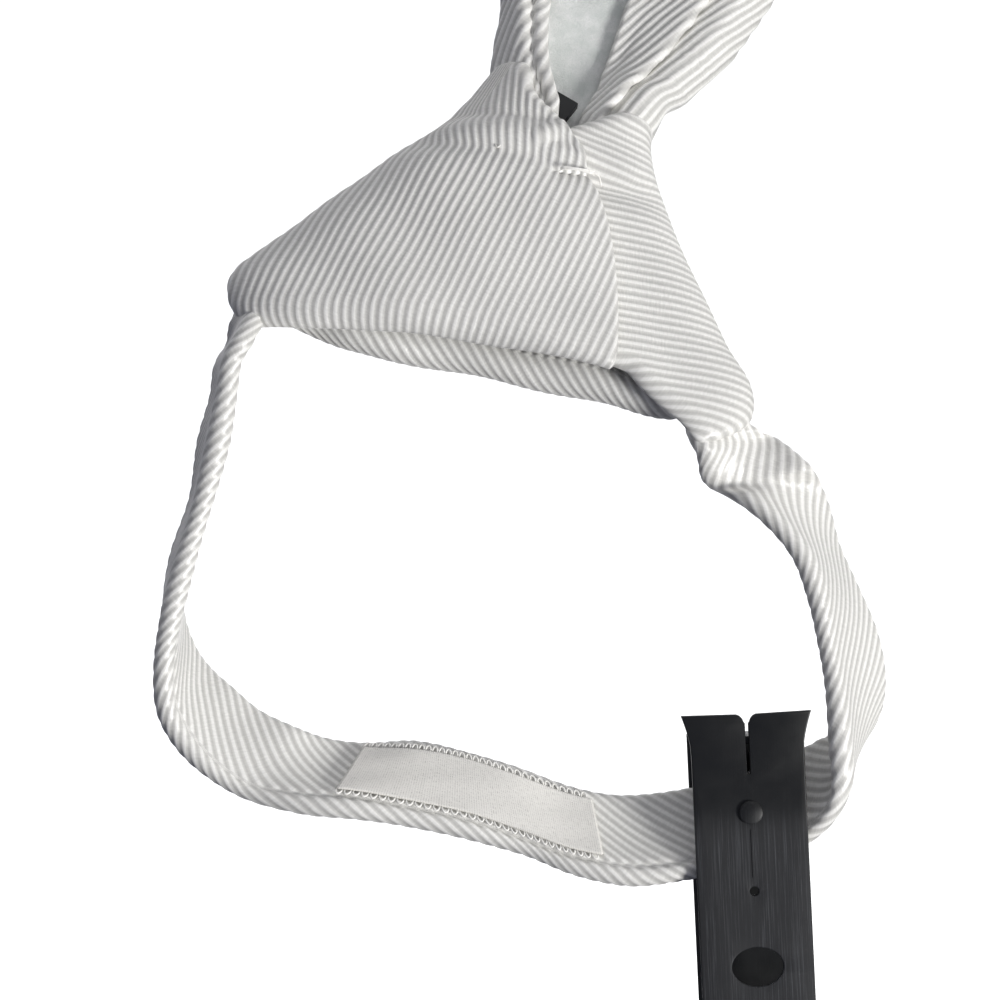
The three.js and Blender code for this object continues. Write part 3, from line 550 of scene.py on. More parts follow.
# The wrap from edge to edge: its distances to both edges, its place down the knot with the cloth laid
# flat and with its edges rolled in, and how far they are sunk.
def wrapProfile(share, level):
    centre, wide, _ = knotSection(0.0)
    rightTop = fromTable(rightEdge, "across", "top", centre + wide * np.cos(wrapAngle(share, 0.0)))
    top = -np.where(share < 0.25, rightTop, fromTable(wrapEdges, "round", "top", share)) * knot["height"]
    mouth = fromTable(wrapEdges, "round", "mouth", share) * knot["height"]
    # the rim is full under the plus side and flat where the back panels end
    topRound = knot["topRound"] - 1.2 * smoothStep(0.94, 0.995, share) - 1.0 * smoothStep(0.30, 0.22, share)
    mouthRound = knot["mouthRound"]
    spare = (math.pi / 2 - 1) * (topRound + mouthRound)
    length = (mouth - top + spare)[None, :]
    toTop = level[:, None] * length
    toMouth = length - toTop
    quarter = lambda distance, radius: (1 - np.clip(distance / (math.pi / 2 * radius), 0, 1)) * math.pi / 2
    topTurn, mouthTurn = quarter(toTop, topRound), quarter(toMouth, mouthRound)
    unrolled = top + topRound + toTop - math.pi / 2 * topRound
    down = np.where(
        toTop < math.pi / 2 * topRound, top + topRound * (1 - np.sin(topTurn)),
        np.where(toMouth < math.pi / 2 * mouthRound, mouth - mouthRound * (1 - np.sin(mouthTurn)), unrolled))
    sunk = topRound * (1 - np.cos(topTurn)) + mouthRound * (1 - np.cos(mouthTurn))
    return toTop, toMouth, unrolled, down, sunk


def foldDepth(name, place, shift=0.0):
    deep, at, wide = folds[name]
    return deep * np.exp(-(((place - at + shift) / wide) ** 2))


# How far the stitch draws in the left back panel and the right one, in mm.
def panelDepths(across, down):
    left = foldDepth("drawnIn", down, 0.9 * smoothStep(0.5, -2.5, across)) + foldDepth("crest", down)
    left = left + 0.35 * smoothStep(26.2, 28.2, down) + 0.6 * smoothStep(22, 31, down)
    left = left + foldDepth("lower", down) * smoothStep(-1.5, 0.5, across)
    fromArch = np.hypot(across + 2.4, down - 23.9)
    arch = 0.45 * smoothStep(2.6, 1.0, fromArch) + foldDepth("archCrest", fromArch)
    left = left + smoothStep(23.4, 24.8, down) * arch
    tackBed = foldDepth("tackBed", down, 0.18 * (across + 2.5))
    left = left + tackBed * np.exp(-(((across + 4.2) / 2.3) ** 4))
    return left, foldDepth("hollow", down, 0.10 * (across + 6.4)) + foldDepth("hollowCrest", down)


# Straight ribs on cloth laid round a cone, from each point's distance to its tip and its angle round it:
# the distance across the ribs, counted in ribs, and the mm along them.
def wrapRibs(share, turned, across, down, unrolled, angle, section, leftBack, rightBack):
    centre, wide, deep = section
    spread = 0.2 * np.maximum(3.5 - unrolled, 0) * smoothStep(0.45, 0.3, turned)
    smooth = np.stack([centre - spread + (wide + spread) * np.cos(angle), deep * np.sin(angle),
                       unrolled - knot["coneTip"]], axis=-1)
    fromTip = np.linalg.norm(smooth, axis=-1)
    stretch = np.linalg.norm(np.diff(smooth, axis=1), axis=-1) ** 2 - np.diff(fromTip, axis=1) ** 2
    turns = np.sqrt(np.maximum(stretch, 0)) / fromTip[:, 1:]
    turnedBy = np.concatenate([np.zeros_like(turns[:, :1]), np.cumsum(turns, axis=1)], axis=1)
    left, right = (int(np.argmin(np.abs(share - knot[name]))) for name in ("leftRibs", "rightRibs"))
    facing = lambda column: np.arctan2(smooth[:, column, 0], -smooth[:, column, 2])
    lean = math.radians(90 + knot["ribLean"])
    coneAngle = lean - facing(left)[:, None] + turnedBy - turnedBy[:, left : left + 1]
    # the right back panel has its own straight ribs, and the front takes up the difference
    drift = coneAngle[:, right] + facing(right)
    turnBack = math.radians(knot["rightLean"]) - (drift - drift[len(drift) // 2])[:, None]
    coneAngle = coneAngle + turnBack * smoothStep(0.6, 0.3, turned)
    alongRib = fromTip * np.sin(coneAngle)
    # below the tack the left panel's ribs bend down, and the right one's fan out from a point by the seam
    bend = 0.4 * leftBack * np.logaddexp(0, (down - knot["bendDown"]) * knot["bendRate"])
    onRight = np.hypot(across + 8.5, down - 25) + 99 * (turned > 0.24)
    pivot = np.unravel_index(np.argmin(onRight), down.shape)
    fanned = 0.22 * rightBack * smoothStep(19, 26, down) * (alongRib - alongRib[pivot])
    return (fromTip * np.cos(coneAngle) - bend / knot["bendRate"] - fanned) / knot["pitch"], alongRib


def buildKnotWrap():
    share = wrapColumns()
    toTop, toMouth, unrolled, down, sunk = wrapProfile(share, wrapLevels())
    turned = np.broadcast_to(share, down.shape)
    section = knotSection(down / knot["height"])
    centre, wide, deep = section
    angle = wrapAngle(turned, down / knot["height"])
    under = 1 - smoothStep(0.1, 0.22, turned)
    across = centre + wide * np.cos(angle)
    leftBack, rightBack = smoothStep(0.77, 0.84, turned), 1 - smoothStep(0.16, 0.23, turned)
    leftDepth, rightDepth = panelDepths(across, down)
    inset = knot["wall"] / 2 + under * (knot["wall"] + knot["clearance"]) + sunk
    inset = inset + leftBack * leftDepth + rightBack * rightDepth
    sway = np.sin(across * 0.31 + 1.3) * np.sin(down * 0.37 + 0.6) + 0.6 * np.sin(across * 0.52 - down * 0.41)
    inset = inset + 0.10 * sway
    wideHere, deepHere = np.maximum(wide - inset, 0.5), np.maximum(deep - inset, 0.4)
    middle = np.stack([centre + wideHere * np.cos(angle), deepHere * np.sin(angle), -down], axis=-1)
    phase, alongRib = wrapRibs(share, turned, across, down, unrolled, angle, section, leftBack, rightBack)
    normals = gridNormals(middle)
    outward = np.stack([np.cos(angle) / wideHere, np.sin(angle) / deepHere, np.zeros_like(angle)], axis=-1)
    row = len(down) // 2
    if np.sum(normals[row] * outward[row]) < 0:
        normals = -normals
    walked = walkRound(angle, wide, deep)
    toRim = np.minimum(np.minimum(toTop, toMouth), np.minimum(walked, walked[:, -1:] - walked))
    turnedNormals = knotToFrame(normals) - knotToFrame(np.zeros(3))
    return addWall("knotWrap", knotToFrame(middle), turnedNormals, knot["wall"] / 2, toRim, phase, alongRib,
                   knot["ribRise"], ribSatinCloth, ["knot_wrap"])


knotWrap = buildKnotWrap()
print("knot wrap made")


topRoll = {"steps": 190, "around": 66, "ribRise": 0.2, "ribAngle": 40, "pitch": 0.88}

rollRows = tableOf(
    "at drop thick",
    (-0.82, 0.034, 0.5), (-0.66, 0.030, 1.70), (-0.41, 0.056, 2.20), (0.09, 0.066, 2.20), (0.54, 0.047, 2.10),
    (0.74, 0.056, 1.10), (0.84, 0.056, 0.45),
)


def buildTopRoll():
    at = np.linspace(rollRows[0]["at"], rollRows[-1]["at"], topRoll["steps"])
    across = (at * knot["width"] / 2)[:, None]
    down = fromTable(rollRows, "at", "drop", at)[:, None] * knot["height"]
    thick = fromTable(rollRows, "at", "thick", at)[:, None]
    centre, wide, deep = knotSection(down / knot["height"])
    front = (deep - knot["wall"]) * np.sqrt(np.clip(1 - ((across - centre) / wide) ** 2, 0.05, 1))
    turn = np.linspace(0, 2 * math.pi, topRoll["around"], endpoint=False)[None, :]
    angle = math.radians(topRoll["ribAngle"])
    unrolled = thick.max() * turn
    phase = (across * math.cos(angle) + unrolled * math.sin(angle)) / topRoll["pitch"]
    radius = thick + topRoll["ribRise"] * ribShape(phase) * smoothStep(0.4, 1.2, thick)
    radius = radius + 0.12 * np.sin(across * 0.5 + 2 * turn)
    y = front - knot["clearance"] - thick - radius * np.cos(turn)
    points = np.stack([np.broadcast_to(across, y.shape), y, -down + radius * np.sin(turn)], axis=-1)
    piece = newPiece("knotTopRoll", knotToFrame(points.reshape(-1, 3)), tubeFaces(*y.shape), ribSatinCloth,
                     ["knot_top_roll"])
    along = unrolled * math.cos(angle) - across * math.sin(angle)
    setRibMap(piece, phase.ravel(), np.broadcast_to(along, y.shape).ravel())
    return piece


knotTopRoll = buildTopRoll()
print("top roll made")


# A moulded bar from its size and its middle in mm, with rounded edges where an edge radius is given.
def addBar(name, size, middle, edge=None):
    bpy.ops.object.select_all(action="DESELECT")
    bpy.ops.mesh.primitive_cube_add(size=1)
    bar = bpy.context.object
    bar.name = bar.data.name = name
    bar.data.transform(Matrix.Translation(Vector(middle) * mm) @ Matrix.Diagonal((*(Vector(size) * mm), 1)))
    if edge:
        bevel = bar.modifiers.new("edges", "BEVEL")
        bevel.width = edge * mm
        bevel.segments = 3
        bpy.ops.object.modifier_apply(modifier="edges")
    return bar


# Former: a moulded plate inside the knot. One corner shows at the mouth.
former = {"corner": (-2.87, -1.2, -32.6), "across": 3.0, "up": 16.0, "wall": 1.0, "turn": 22.0, "edge": 0.12}


def buildFormer():
    size = (former["across"], former["wall"], former["up"])
    plate = addBar("knotFormer", size, (former["across"] / 2, 0, former["up"] / 2), former["edge"])
    turned = Matrix.Rotation(math.radians(former["turn"]), 4, "Y")
    inKnot = Matrix.Translation(Vector(former["corner"]) * mm) @ turned
    atKnot = Matrix.Translation(Vector((knot["across"], 0, knot["base"])) * mm)
    plate.data.transform(atKnot @ knotTurn(4) @ inKnot)
    finishPiece(plate, smoothPlastic, ["knot_former"])


buildFormer()
print("former made")


# Neck band: a flat folded tube. Its route is given by its two edges, as shares of the loop.
band = {"width": 10.0, "wall": 2.2, "step": 0.27, "around": 84, "ribRise": 0.13, "ribAngle": 52.0,
        "pitch": 0.88, "seamIn": 0.35, "seamWidth": 0.28, "stitch": 1.3}

loopRoute = tableOf(
    "nearAcross nearUp farAcross farUp",
    (0.716, -1.065, 0.736, -1.055), (0.733, -1.03, 0.752, -1.02), (0.745, -0.96, 0.760, -0.96),
    (0.760, -0.87, 0.783, -0.87), (0.786, -0.75, 0.800, -0.755), (0.819, -0.62, 0.838, -0.63),
    (0.842, -0.52, 0.847, -0.53), (0.855, -0.44, 0.832, -0.45), (0.855, -0.35, 0.806, -0.40),
    (0.836, -0.29, 0.773, -0.36), (0.800, -0.23, 0.733, -0.31), (0.745, -0.175, 0.678, -0.27),
    (0.665, -0.145, 0.632, -0.245), (0.586, -0.13, 0.565, -0.228), (0.499, -0.105, 0.492, -0.225),
    (0.420, -0.078, 0.428, -0.208), (0.343, -0.040, 0.360, -0.178), (0.275, 0.000, 0.280, -0.13),
    (0.222, 0.019, 0.224, -0.108), (0.168, 0.030, 0.168, -0.098), (0.084, 0.023, 0.084, -0.105),
    (-0.003, 0.003, -0.003, -0.138), (-0.080, -0.030, -0.078, -0.17), (-0.120, -0.075, -0.125, -0.195),
    (-0.138, -0.132, -0.165, -0.215), (-0.140, -0.21, -0.192, -0.26), (-0.137, -0.315, -0.202, -0.325),
    (-0.127, -0.41, -0.194, -0.425), (-0.115, -0.505, -0.172, -0.515), (-0.095, -0.59, -0.145, -0.60),
    (-0.058, -0.66, -0.131, -0.670), (-0.020, -0.707, -0.118, -0.718), (0.013, -0.732, -0.102, -0.760),
    (0.029, -0.757, -0.081, -0.790), (0.037, -0.803, -0.052, -0.822),
)

# Its ends inside the knot, in the knot's axes, as shares of its half width, depth and height.
plusEnd = tableOf(
    "near far",
    ((0.76, -0.05, -0.10), (0.88, 0.06, -0.12)), ((0.83, -0.06, -0.04), (0.94, 0.08, -0.05)),
    ((0.90, -0.06, 0.02), (0.965, 0.10, 0.02)),
)
minusEnd = tableOf(
    "near far",
    ((-0.79, -0.06, 0.09), (-0.985, 0.10, 0.02)), ((-0.77, -0.06, 0.02), (-0.91, 0.08, -0.01)),
    ((-0.73, -0.05, -0.05), (-0.85, 0.06, -0.07)),
)


# One edge of the band, near or far, as chosen points. Both edges lie as far apart as the band is wide.
def bandEdge(side):
    scale = np.array([knot["width"] / 2, knot["depth"], knot["height"]])
    reach = band["width"] - band["wall"]
    inKnot = lambda rows: [knotToFrame(np.array(row[side]) * scale) for row in rows]
    points = []
    for row in loopRoute:
        dx = (row["farAcross"] - row["nearAcross"]) * loop["width"]
        dz = (row["farUp"] - row["nearUp"]) * loop["height"]
        deep = math.sqrt(max(reach**2 - dx**2 - dz**2, 0)) / 2
        up = row[side + "Up"] * loop["height"] - loop["gripDrop"]
        points.append((row[side + "Across"] * loop["width"], deep if side == "far" else -deep, up))
    return curveThrough(inKnot(plusEnd) + points + inKnot(minusEnd))


nearEdge, farEdge = bandEdge("near"), bandEdge("far")
bandReached = walkLine((nearEdge + farEdge) / 2)
bandLength = bandReached[-1]


# The band's near and far edges and its axes at distances along it: along, across to the far edge, out of it.
def bandFrames(at):
    near, far = readLine(at, bandReached, nearEdge), readLine(at, bandReached, farEdge)
    smooth = 9  # stations that each direction is averaged over
    kernel = np.ones(smooth) / smooth
    along = np.gradient((near + far) / 2, axis=0)
    padded = np.pad(along, ((smooth // 2, smooth // 2), (0, 0)), mode="edge")
    along = unit(np.stack([np.convolve(column, kernel, "valid") for column in padded.T], axis=1))
    across = unit(far - near)
    return near, far, along, across, unit(np.cross(across, along))


# Places round the band's section, from the near edge's outer side and back to it: the share of the way to
# the far edge, and the direction out of the cloth as its parts across the band and out of it.
def bandSection(place, reach, half):
    edge = math.pi * half
    rows = []
    for s in place:
        if s < reach:
            rows.append((s / reach, 0, 1))
        elif s < reach + edge:
            turn = (s - reach) / half
            rows.append((1, math.sin(turn), math.cos(turn)))
        elif s < 2 * reach + edge:
            rows.append((1 - (s - reach - edge) / reach, 0, -1))
        else:
            turn = (s - 2 * reach - edge) / half
            rows.append((0, -math.sin(turn), -math.cos(turn)))
    return np.array(rows, float).T


def buildBand():
    stations, around = int(bandLength / band["step"]), band["around"]
    at = np.linspace(0, bandLength, stations)
    near, far, _, across, out = bandFrames(at)
    half, reach = band["wall"] / 2, band["width"] - band["wall"]
    total = 2 * reach + 2 * math.pi * half
    place = np.linspace(0, total, around, endpoint=False)
    share, normalAcross, normalOut = bandSection(place, reach, half)
    seamAt = 2 * reach + math.pi * half - band["seamIn"]
    unrolled = np.where(place < seamAt, place, place - total)
    angle = math.radians(band["ribAngle"])
    phase = (at[:, None] * math.cos(angle) - unrolled[None, :] * math.sin(angle)) / band["pitch"]
    seam = np.abs(place - seamAt)
    rib = band["ribRise"] * ribShape(phase) * smoothStep(0.1, 0.5, seam)[None, :]
    # the faces sink a little between the edges, and the cloth sways along its length
    plump = -0.16 * (1 - (2 * share - 1) ** 2)[None, :] * np.abs(normalOut)[None, :]
    sway = 0.12 * np.sin(at / 4.1 + 0.7)[:, None] * np.sin(place / total * 4 * math.pi)[None, :]
    sway = sway + 0.10 * np.sin(at / 2.3)[:, None] * np.cos(place / total * 2 * math.pi)[None, :]
    stitches = 0.5 + 0.5 * np.sin(at * 2 * math.pi / band["stitch"])[:, None]
    groove = -(0.18 + 0.14 * stitches) * np.exp(-((seam / band["seamWidth"]) ** 2))[None, :]
    centre = near[:, None, :] + (far - near)[:, None, :] * share[None, :, None]
    direction = across[:, None, :] * normalAcross[None, :, None] + out[:, None, :] * normalOut[None, :, None]
    points = centre + direction * (half + rib + plump + sway + groove)[..., None]
    faces = tubeFaces(stations, around)
    row = stations // 2
    a, b, d = points[row, 2], points[row, 5], points[row + 3, 2]
    if np.dot(np.cross(b - a, d - a), direction[row, 3]) < 0:
        faces = [face[::-1] for face in faces]
    piece = newPiece("neckBand", points.reshape(-1, 3), faces, ribSatinCloth, ["neck_band"])
    alongRib = at[:, None] * math.sin(angle) + unrolled[None, :] * math.cos(angle)
    setRibMap(piece, phase.ravel(), alongRib.ravel())
    return piece


neckBand = buildBand()
print("neck band made, mm long:", round(float(bandLength), 1))
print("neck band made, mm long:", round(float(bandLength), 1))


# Label: a woven satin ribbon on the band's inner face, left plain, with a picot edge.
label = {"length": 24.5, "width": 6.4, "wall": 0.3, "toStrap": 16.0, "lift": 0.3, "drop": 0.7,
         "slantStart": 1.5, "slantEnd": 0.7, "picot": 0.62, "picotStep": 0.75, "thread": 0.1}

# the band reaches the strap past its first third, where it crosses the middle plane
gripIndex = int(np.argmax((np.arange(len(bandReached)) > len(bandReached) / 3) & (nearEdge[:, 0] < 0)))
labelStart = bandReached[gripIndex] - label["toStrap"] - label["length"]
labelStations = np.linspace(-4, label["length"] + 4, 320)
labelFrames = bandFrames(labelStart + labelStations)


# Points on the label and the way out of it: the label widens from its upper edge to its lower one.
def labelSurface(along, down, lift):
    along, down, lift = np.broadcast_arrays(along, down, lift)
    spread = blend(-label["slantStart"], label["slantEnd"], along / label["length"])
    at = along + spread * down / label["width"]
    far, across, out = (readLine(at, labelStations, labelFrames[k]) for k in (1, 3, 4))
    top = far + across * (0.1 * band["wall"] - label["drop"])
    return top - across * down[..., None] - out * (band["wall"] / 2 + lift)[..., None], -out


def buildLabel():
    along, down = np.meshgrid(np.linspace(0, label["length"], 150), np.linspace(0, label["width"], 44))
    wave = 0.10 * np.sin(along / 1.9) * np.sin(down * 0.9) ** 2
    middle, normals = labelSurface(along, down, label["lift"] + wave)
    toRim = np.minimum(np.minimum(along, label["length"] - along), np.minimum(down, label["width"] - down))
    return addWall("bandLabel", middle, normals, label["wall"] / 2, toRim, along, down, 0.0,
                   ribbonCloth, ["band_label"])


bandLabel = buildLabel()
print("label made")


# Blade: one cloth folded to the back in two flaps. Its line leaves the knot leaning and then hangs.
blade = {"length": 285.0, "width": 66.0, "wall": 0.8, "layerStep": 2.7, "lean": 28.0, "leanRun": 110.0,
         "tiltRun": 22.0, "inKnot": 12.0, "ribRise": 0.2, "ribAngle": 45.0, "gatherAngle": 17.0,
         "pitch": 0.88, "fineTo": 26.0, "settled": 60.0, "columns": 216}

bladeRows = tableOf(
    "along width open",
    (-0.05, 0.14, 0.10), (0.07, 0.47, 0.16), (0.13, 0.545, 0.10), (0.22, 0.60, 0.04), (0.40, 0.70, 0.02),
    (0.60, 0.82, 0.02), (0.78, 0.935, 0.03), (0.86, 0.99, 0.35), (0.885, 1.00, 0.60), (0.90, 0.90, 0.66),
    (0.95, 0.48, 0.55), (1.00, 0.07, 0.10),
)

# The gathered top of the blade, from the hem of one flap round the front to the hem of the other: for each
# station along it, how far the cloth's middle lies across it and then out to its back, in mm.
gatherStations = [-12.0, -3.0, 1.0, 6.0, 12.0, 22.0, 45.0]
gatherLine = {
    "leftHem": ((0.5, 1.5, 3.2, 5.3, 6.6, 7.4, 5.0), (2.4, 3.5, 3.5, 2.6, 1.9, 1.6, 1.4)),
    "leftStrip": ((1.2, 2.3, 4.2, 6.4, 8.0, 9.0, 6.6), (2.5, 3.6, 3.6, 2.9, 2.2, 1.8, 1.5)),
    "leftGroove": ((1.8, 2.9, 4.8, 7.1, 8.8, 9.8, 7.6), (2.1, 2.9, 2.8, 2.1, 1.6, 1.4, 1.35)),
    "leftRidge": ((2.4, 3.5, 5.5, 8.1, 10.0, 11.4, 10.0), (1.9, 2.8, 3.0, 2.8, 2.4, 2.0, 1.6)),
    "leftSide": ((3.6, 5.6, 7.4, 9.2, 11.0, 13.0, 14.5), (1.2, 1.6, 1.7, 1.6, 1.5, 1.5, 1.4)),
    "leftFold": ((4.6, 7.6, 8.8, 9.9, 11.9, 14.4, 18.3), (0.0, -0.4, -0.5, -0.4, -0.2, 0.0, 0.0)),
    "leftFront": ((3.0, 5.4, 6.4, 7.2, 8.4, 10.0, 13.0), (-1.2, -1.8, -2.2, -2.5, -2.5, -2.2, -1.6)),
    "middleFront": ((0.0, -0.4, -0.6, -0.8, -1.0, -1.2, -1.0), (-1.0, -1.0, -1.0, -1.0, -1.0, -1.0, -1.2)),
    "rightFront": ((-3.0, -5.4, -6.4, -7.6, -9.4, -11.0, -13.0), (-1.2, -1.8, -2.3, -2.7, -2.7, -2.3, -1.6)),
    "rightFold": ((-4.6, -8.4, -9.4, -11.3, -13.8, -16.2, -18.5), (0.0, 0.3, 0.4, 0.3, 0.2, 0.0, 0.0)),
    "rightLobe": ((-3.6, -6.2, -7.6, -9.2, -11.2, -13.4, -15.6), (1.2, 2.2, 2.7, 2.8, 2.7, 2.3, 1.6)),
    "rightTuck": ((-2.2, -2.8, -4.2, -5.2, -6.8, -9.2, -12.6), (1.1, 1.2, 1.2, 1.2, 1.25, 1.3, 1.35)),
    "rightRidge": ((-2.6, -3.2, -5.0, -6.5, -8.2, -10.4, -10.8), (1.8, 2.5, 3.0, 3.1, 3.0, 2.5, 1.65)),
    "rightValley": ((-1.8, -2.0, -3.6, -4.3, -5.2, -6.6, -7.2), (1.4, 1.9, 2.2, 2.2, 2.1, 1.8, 1.4)),
    "rightStrip": ((-1.4, -1.5, -2.9, -3.5, -3.5, -4.0, -3.6), (1.2, 1.6, 1.6, 1.6, 1.6, 1.5, 1.4)),
    "rightHem": ((-0.8, -1.0, -2.1, -1.9, -1.4, -1.7, -1.4), (1.0, 1.2, 1.3, 1.3, 1.3, 1.35, 1.35)),
}

# The same places on the plain blade: across it, as shares of its half width or, on the flaps, of the way
# from the hem, and the layer, which is 1 on the flaps, 0 at the folds and -1 on the front.
plainLine = [(0.0, 1), (0.10, 1), (0.16, 1), (0.36, 1), (0.70, 1), (1.0, 0), (0.60, -1), (0.0, -1),
             (-0.60, -1), (-1.0, 0), (-0.84, 1), (-0.68, 1), (-0.50, 1), (-0.32, 1), (-0.14, 1),
             (-0.0, 1)]


# Each frame along the blade: its place, and the ways across it and out to its back.
def bladeFrames(at):
    step = 0.25
    dense = np.arange(-20, blade["length"] + 5, step)
    past = np.maximum(dense, 0)
    settle = smoothStep(0, blade["inKnot"] / 2, dense)
    lean = np.radians(blend(knot["roll"], blade["lean"], settle) * np.exp(-past / blade["leanRun"]))
    tilt = np.radians(knot["tilt"] * np.exp(-past / blade["tiltRun"]))
    down = np.stack([-np.sin(lean) * np.cos(tilt), np.sin(tilt), -np.cos(lean) * np.cos(tilt)], axis=1)
    walked = np.vstack([[0, 0, 0], np.cumsum((down[1:] + down[:-1]) / 2 * step, axis=0)])
    mouth = knotToFrame(np.array([-0.045 * knot["width"], 0.1 * knot["depth"], -knot["height"]]))
    place = mouth + readLine(at, dense, walked) - readLine(0, dense, walked)
    down = unit(readLine(at, dense, down))
    side = unit(np.cross(down, np.array([0, 1.0, 0])))
    side = side * np.where(side[:, :1] < 0, -1, 1)
    back = unit(np.cross(down, side))
    back = back * np.where(back[:, 1:2] > 0, -1, 1)
    return place, side, back


# The cloth's middle at one station along the blade, as points across it and out to its back.
def bladeLine(along):
    share = along / blade["length"]
    half = float(fromTable(bladeRows, "along", "width", share)) * blade["width"] / 2
    opening = float(fromTable(bladeRows, "along", "open", share)) * half
    hem = min(max(opening, 0.5), half - 0.6)
    gathered = [[np.interp(along, gatherStations, line) for line in lines] for lines in gatherLine.values()]
    plain = []
    for place, layer in plainLine:
        across = math.copysign(hem + (half - hem) * abs(place), place) if layer == 1 else half * place
        plain.append((across, blade["layerStep"] / 2 * layer))
    return blend(np.array(gathered), np.array(plain), float(smoothStep(25, 90, along)))


def buildBlade():
    columns = blade["columns"]
    close = np.arange(-blade["inKnot"], blade["fineTo"], 0.24)
    rest = blade["fineTo"] + (blade["length"] - blade["fineTo"]) * np.linspace(0, 1, 118) ** 1.25
    rim = [blade["length"] - 0.25, blade["length"] - 0.1]
    at = np.concatenate([close, rest[:-1], rim, rest[-1:]])
    place, side, back = bladeFrames(at)
    # below the gathers each column keeps its place in the fold, so the folds' edges run clean
    held = evenSteps(bladeLine(blade["settled"]), columns)[1]
    lines = []
    for along in at:
        fine, steps = evenSteps(bladeLine(along), columns)
        lines.append(pointsAt(fine, blend(steps, held, float(smoothStep(30, blade["settled"], along)))))
    lines = np.stack(lines)
    middle = place[:, None] + side[:, None] * lines[..., :1] + back[:, None] * lines[..., 1:]
    normals = gridNormals(middle)
    row = len(at) // 2
    if np.dot(normals[row, 4], back[row]) < 0:  # the fifth column is on a flap
        normals = -normals
    steps = np.linalg.norm(np.diff(lines, axis=1), axis=2)
    walked = np.concatenate([np.zeros((len(at), 1)), np.cumsum(steps, axis=1)], axis=1)
    length = walked[:, -1:]
    toRim = np.minimum(np.minimum(walked, length - walked), np.minimum(at - at[0], at[-1] - at)[:, None])
    # gathering at the knot turns the ribs towards the folds, and there they keep their place by each hem
    right = smoothStep(0.35, 0.65, walked / length)
    settled = length[int(np.argmin(np.abs(at - blade["settled"])))]
    reach = np.where(at[:, None] < blade["settled"], settled, length)
    around = walked - reach / 2 - right * (length - reach)
    gather = 1 - smoothStep(15, 80, at)[:, None]
    angle = np.radians(blade["ribAngle"] + gather * blade["gatherAngle"])
    phase = (around * np.sin(angle) + at[:, None] * np.cos(angle)) / blade["pitch"]
    alongRib = around * np.cos(angle) - at[:, None] * np.sin(angle)
    # near the knot the ribs are raised, and from there on they are drawn by the material
    drawn = smoothStep(blade["fineTo"] - 8, blade["fineTo"], at)[:, None] * np.ones_like(around)
    return addWall("bladeCloth", middle, normals, blade["wall"] / 2, toRim, phase, alongRib,
                   blade["ribRise"] * (1 - drawn), ribSatinCloth, ["blade"], drawn)


bladePiece = buildBlade()
print("blade made")


# Interlining: one layer of felt between the blade's front and its flaps.
lining = {"wall": 1.0, "end": 0.86, "inset": 0.9, "start": 0.6, "fineTo": 30.0, "columns": 60}


def buildInterlining():
    at = np.concatenate([np.arange(-blade["inKnot"] + lining["start"], lining["fineTo"], 0.4),
                         np.linspace(lining["fineTo"], lining["end"] * blade["length"], 90)])
    place, side, back = bladeFrames(at)
    leftFold, rightFold = (list(gatherLine).index(name) for name in ("leftFold", "rightFold"))
    lines = np.array([bladeLine(along)[:, 0] for along in at])
    left = lines[:, leftFold] - blade["wall"] - lining["inset"]
    right = lines[:, rightFold] + blade["wall"] + lining["inset"]
    share = np.linspace(0, 1, lining["columns"])
    across = left[:, None] + (right - left)[:, None] * share[None, :]
    lift = 0.12 * np.sin(across * 0.9 + at[:, None] * 0.4) * np.sin(at[:, None] * 0.33)
    middle = place[:, None] + side[:, None] * across[..., None] + back[:, None] * lift[..., None]
    normals = np.broadcast_to(back[:, None], middle.shape)
    toRim = np.minimum(np.minimum(left[:, None] - across, across - right[:, None]),
                       np.minimum(at - at[0], at[-1] - at)[:, None])
    along = np.broadcast_to(at[:, None], across.shape)
    return addWall("bladeInterlining", middle, normals, lining["wall"] / 2, toRim, across, along, 0.0,
                   feltCloth, ["blade_interlining"])


liningPiece = buildInterlining()
print("interlining made")


# Strap: one moulded strip, drawn flat with its holes and fish tail, then folded over.
strap = {"width": 11.2, "wall": 0.8, "gap": 7.4, "front": 39.5, "back": 37.2, "edge": 0.14,
         "tabWidth": 12.9, "tabLength": 3.4, "footWidth": 9.6,
         "notchWidth": 2.3, "notchDepth": 1.0, "slitWidth": 0.3, "slitLength": 5.0,
         "ovalWidth": 5.1, "ovalHeight": 3.9, "ovalDrop": 14.4, "holeWidth": 0.9, "holeDrop": 21.9,
         "ridgeWidth": 0.14, "ridgeLength": 4.8, "ridgeDrop": 25.6}
studButton = {"width": 2.3, "head": 0.35, "drop": 29.7, "bevel": 0.16, "inset": 0.18, "dish": 0.05}


# The flat strip's outline, with the fish tail at its lower end.
def strapOutline(end, backEnd):
    half, tab = strap["width"] / 2, strap["tabWidth"] / 2
    notch, slit = strap["notchWidth"] / 2, strap["slitWidth"] / 2
    notchTop = end + strap["notchDepth"]
    points = [(-half, backEnd), (-half, end + strap["tabLength"] + 0.6)]
    for s in np.linspace(0, 1, 9)[1:]:
        flare = (tab - half) * s**1.6 + 0.05 * math.sin(s * 3)
        points.append((-half - flare, end + strap["tabLength"] * (1 - s)))
    points += [(-tab + 0.12, end - 0.02), (-notch - 1.0, end + 0.05)]
    for t in (0.2, 0.6, 1.0, 1.35):
        points.append((-notch + 0.9 * math.sin(t), end + strap["notchDepth"] * (1 - math.cos(t)) + 0.05))
    points += [(-slit, notchTop), (-slit, notchTop + strap["slitLength"])]
    points += [(-x, y) for x, y in reversed(points[1:])]
    return points + [(half, backEnd)]


def ellipse(width, height, middle, count):
    turns = np.linspace(0, 2 * math.pi, count, endpoint=False)
    return [(width / 2 * math.cos(t), middle + height / 2 * math.sin(t)) for t in turns]


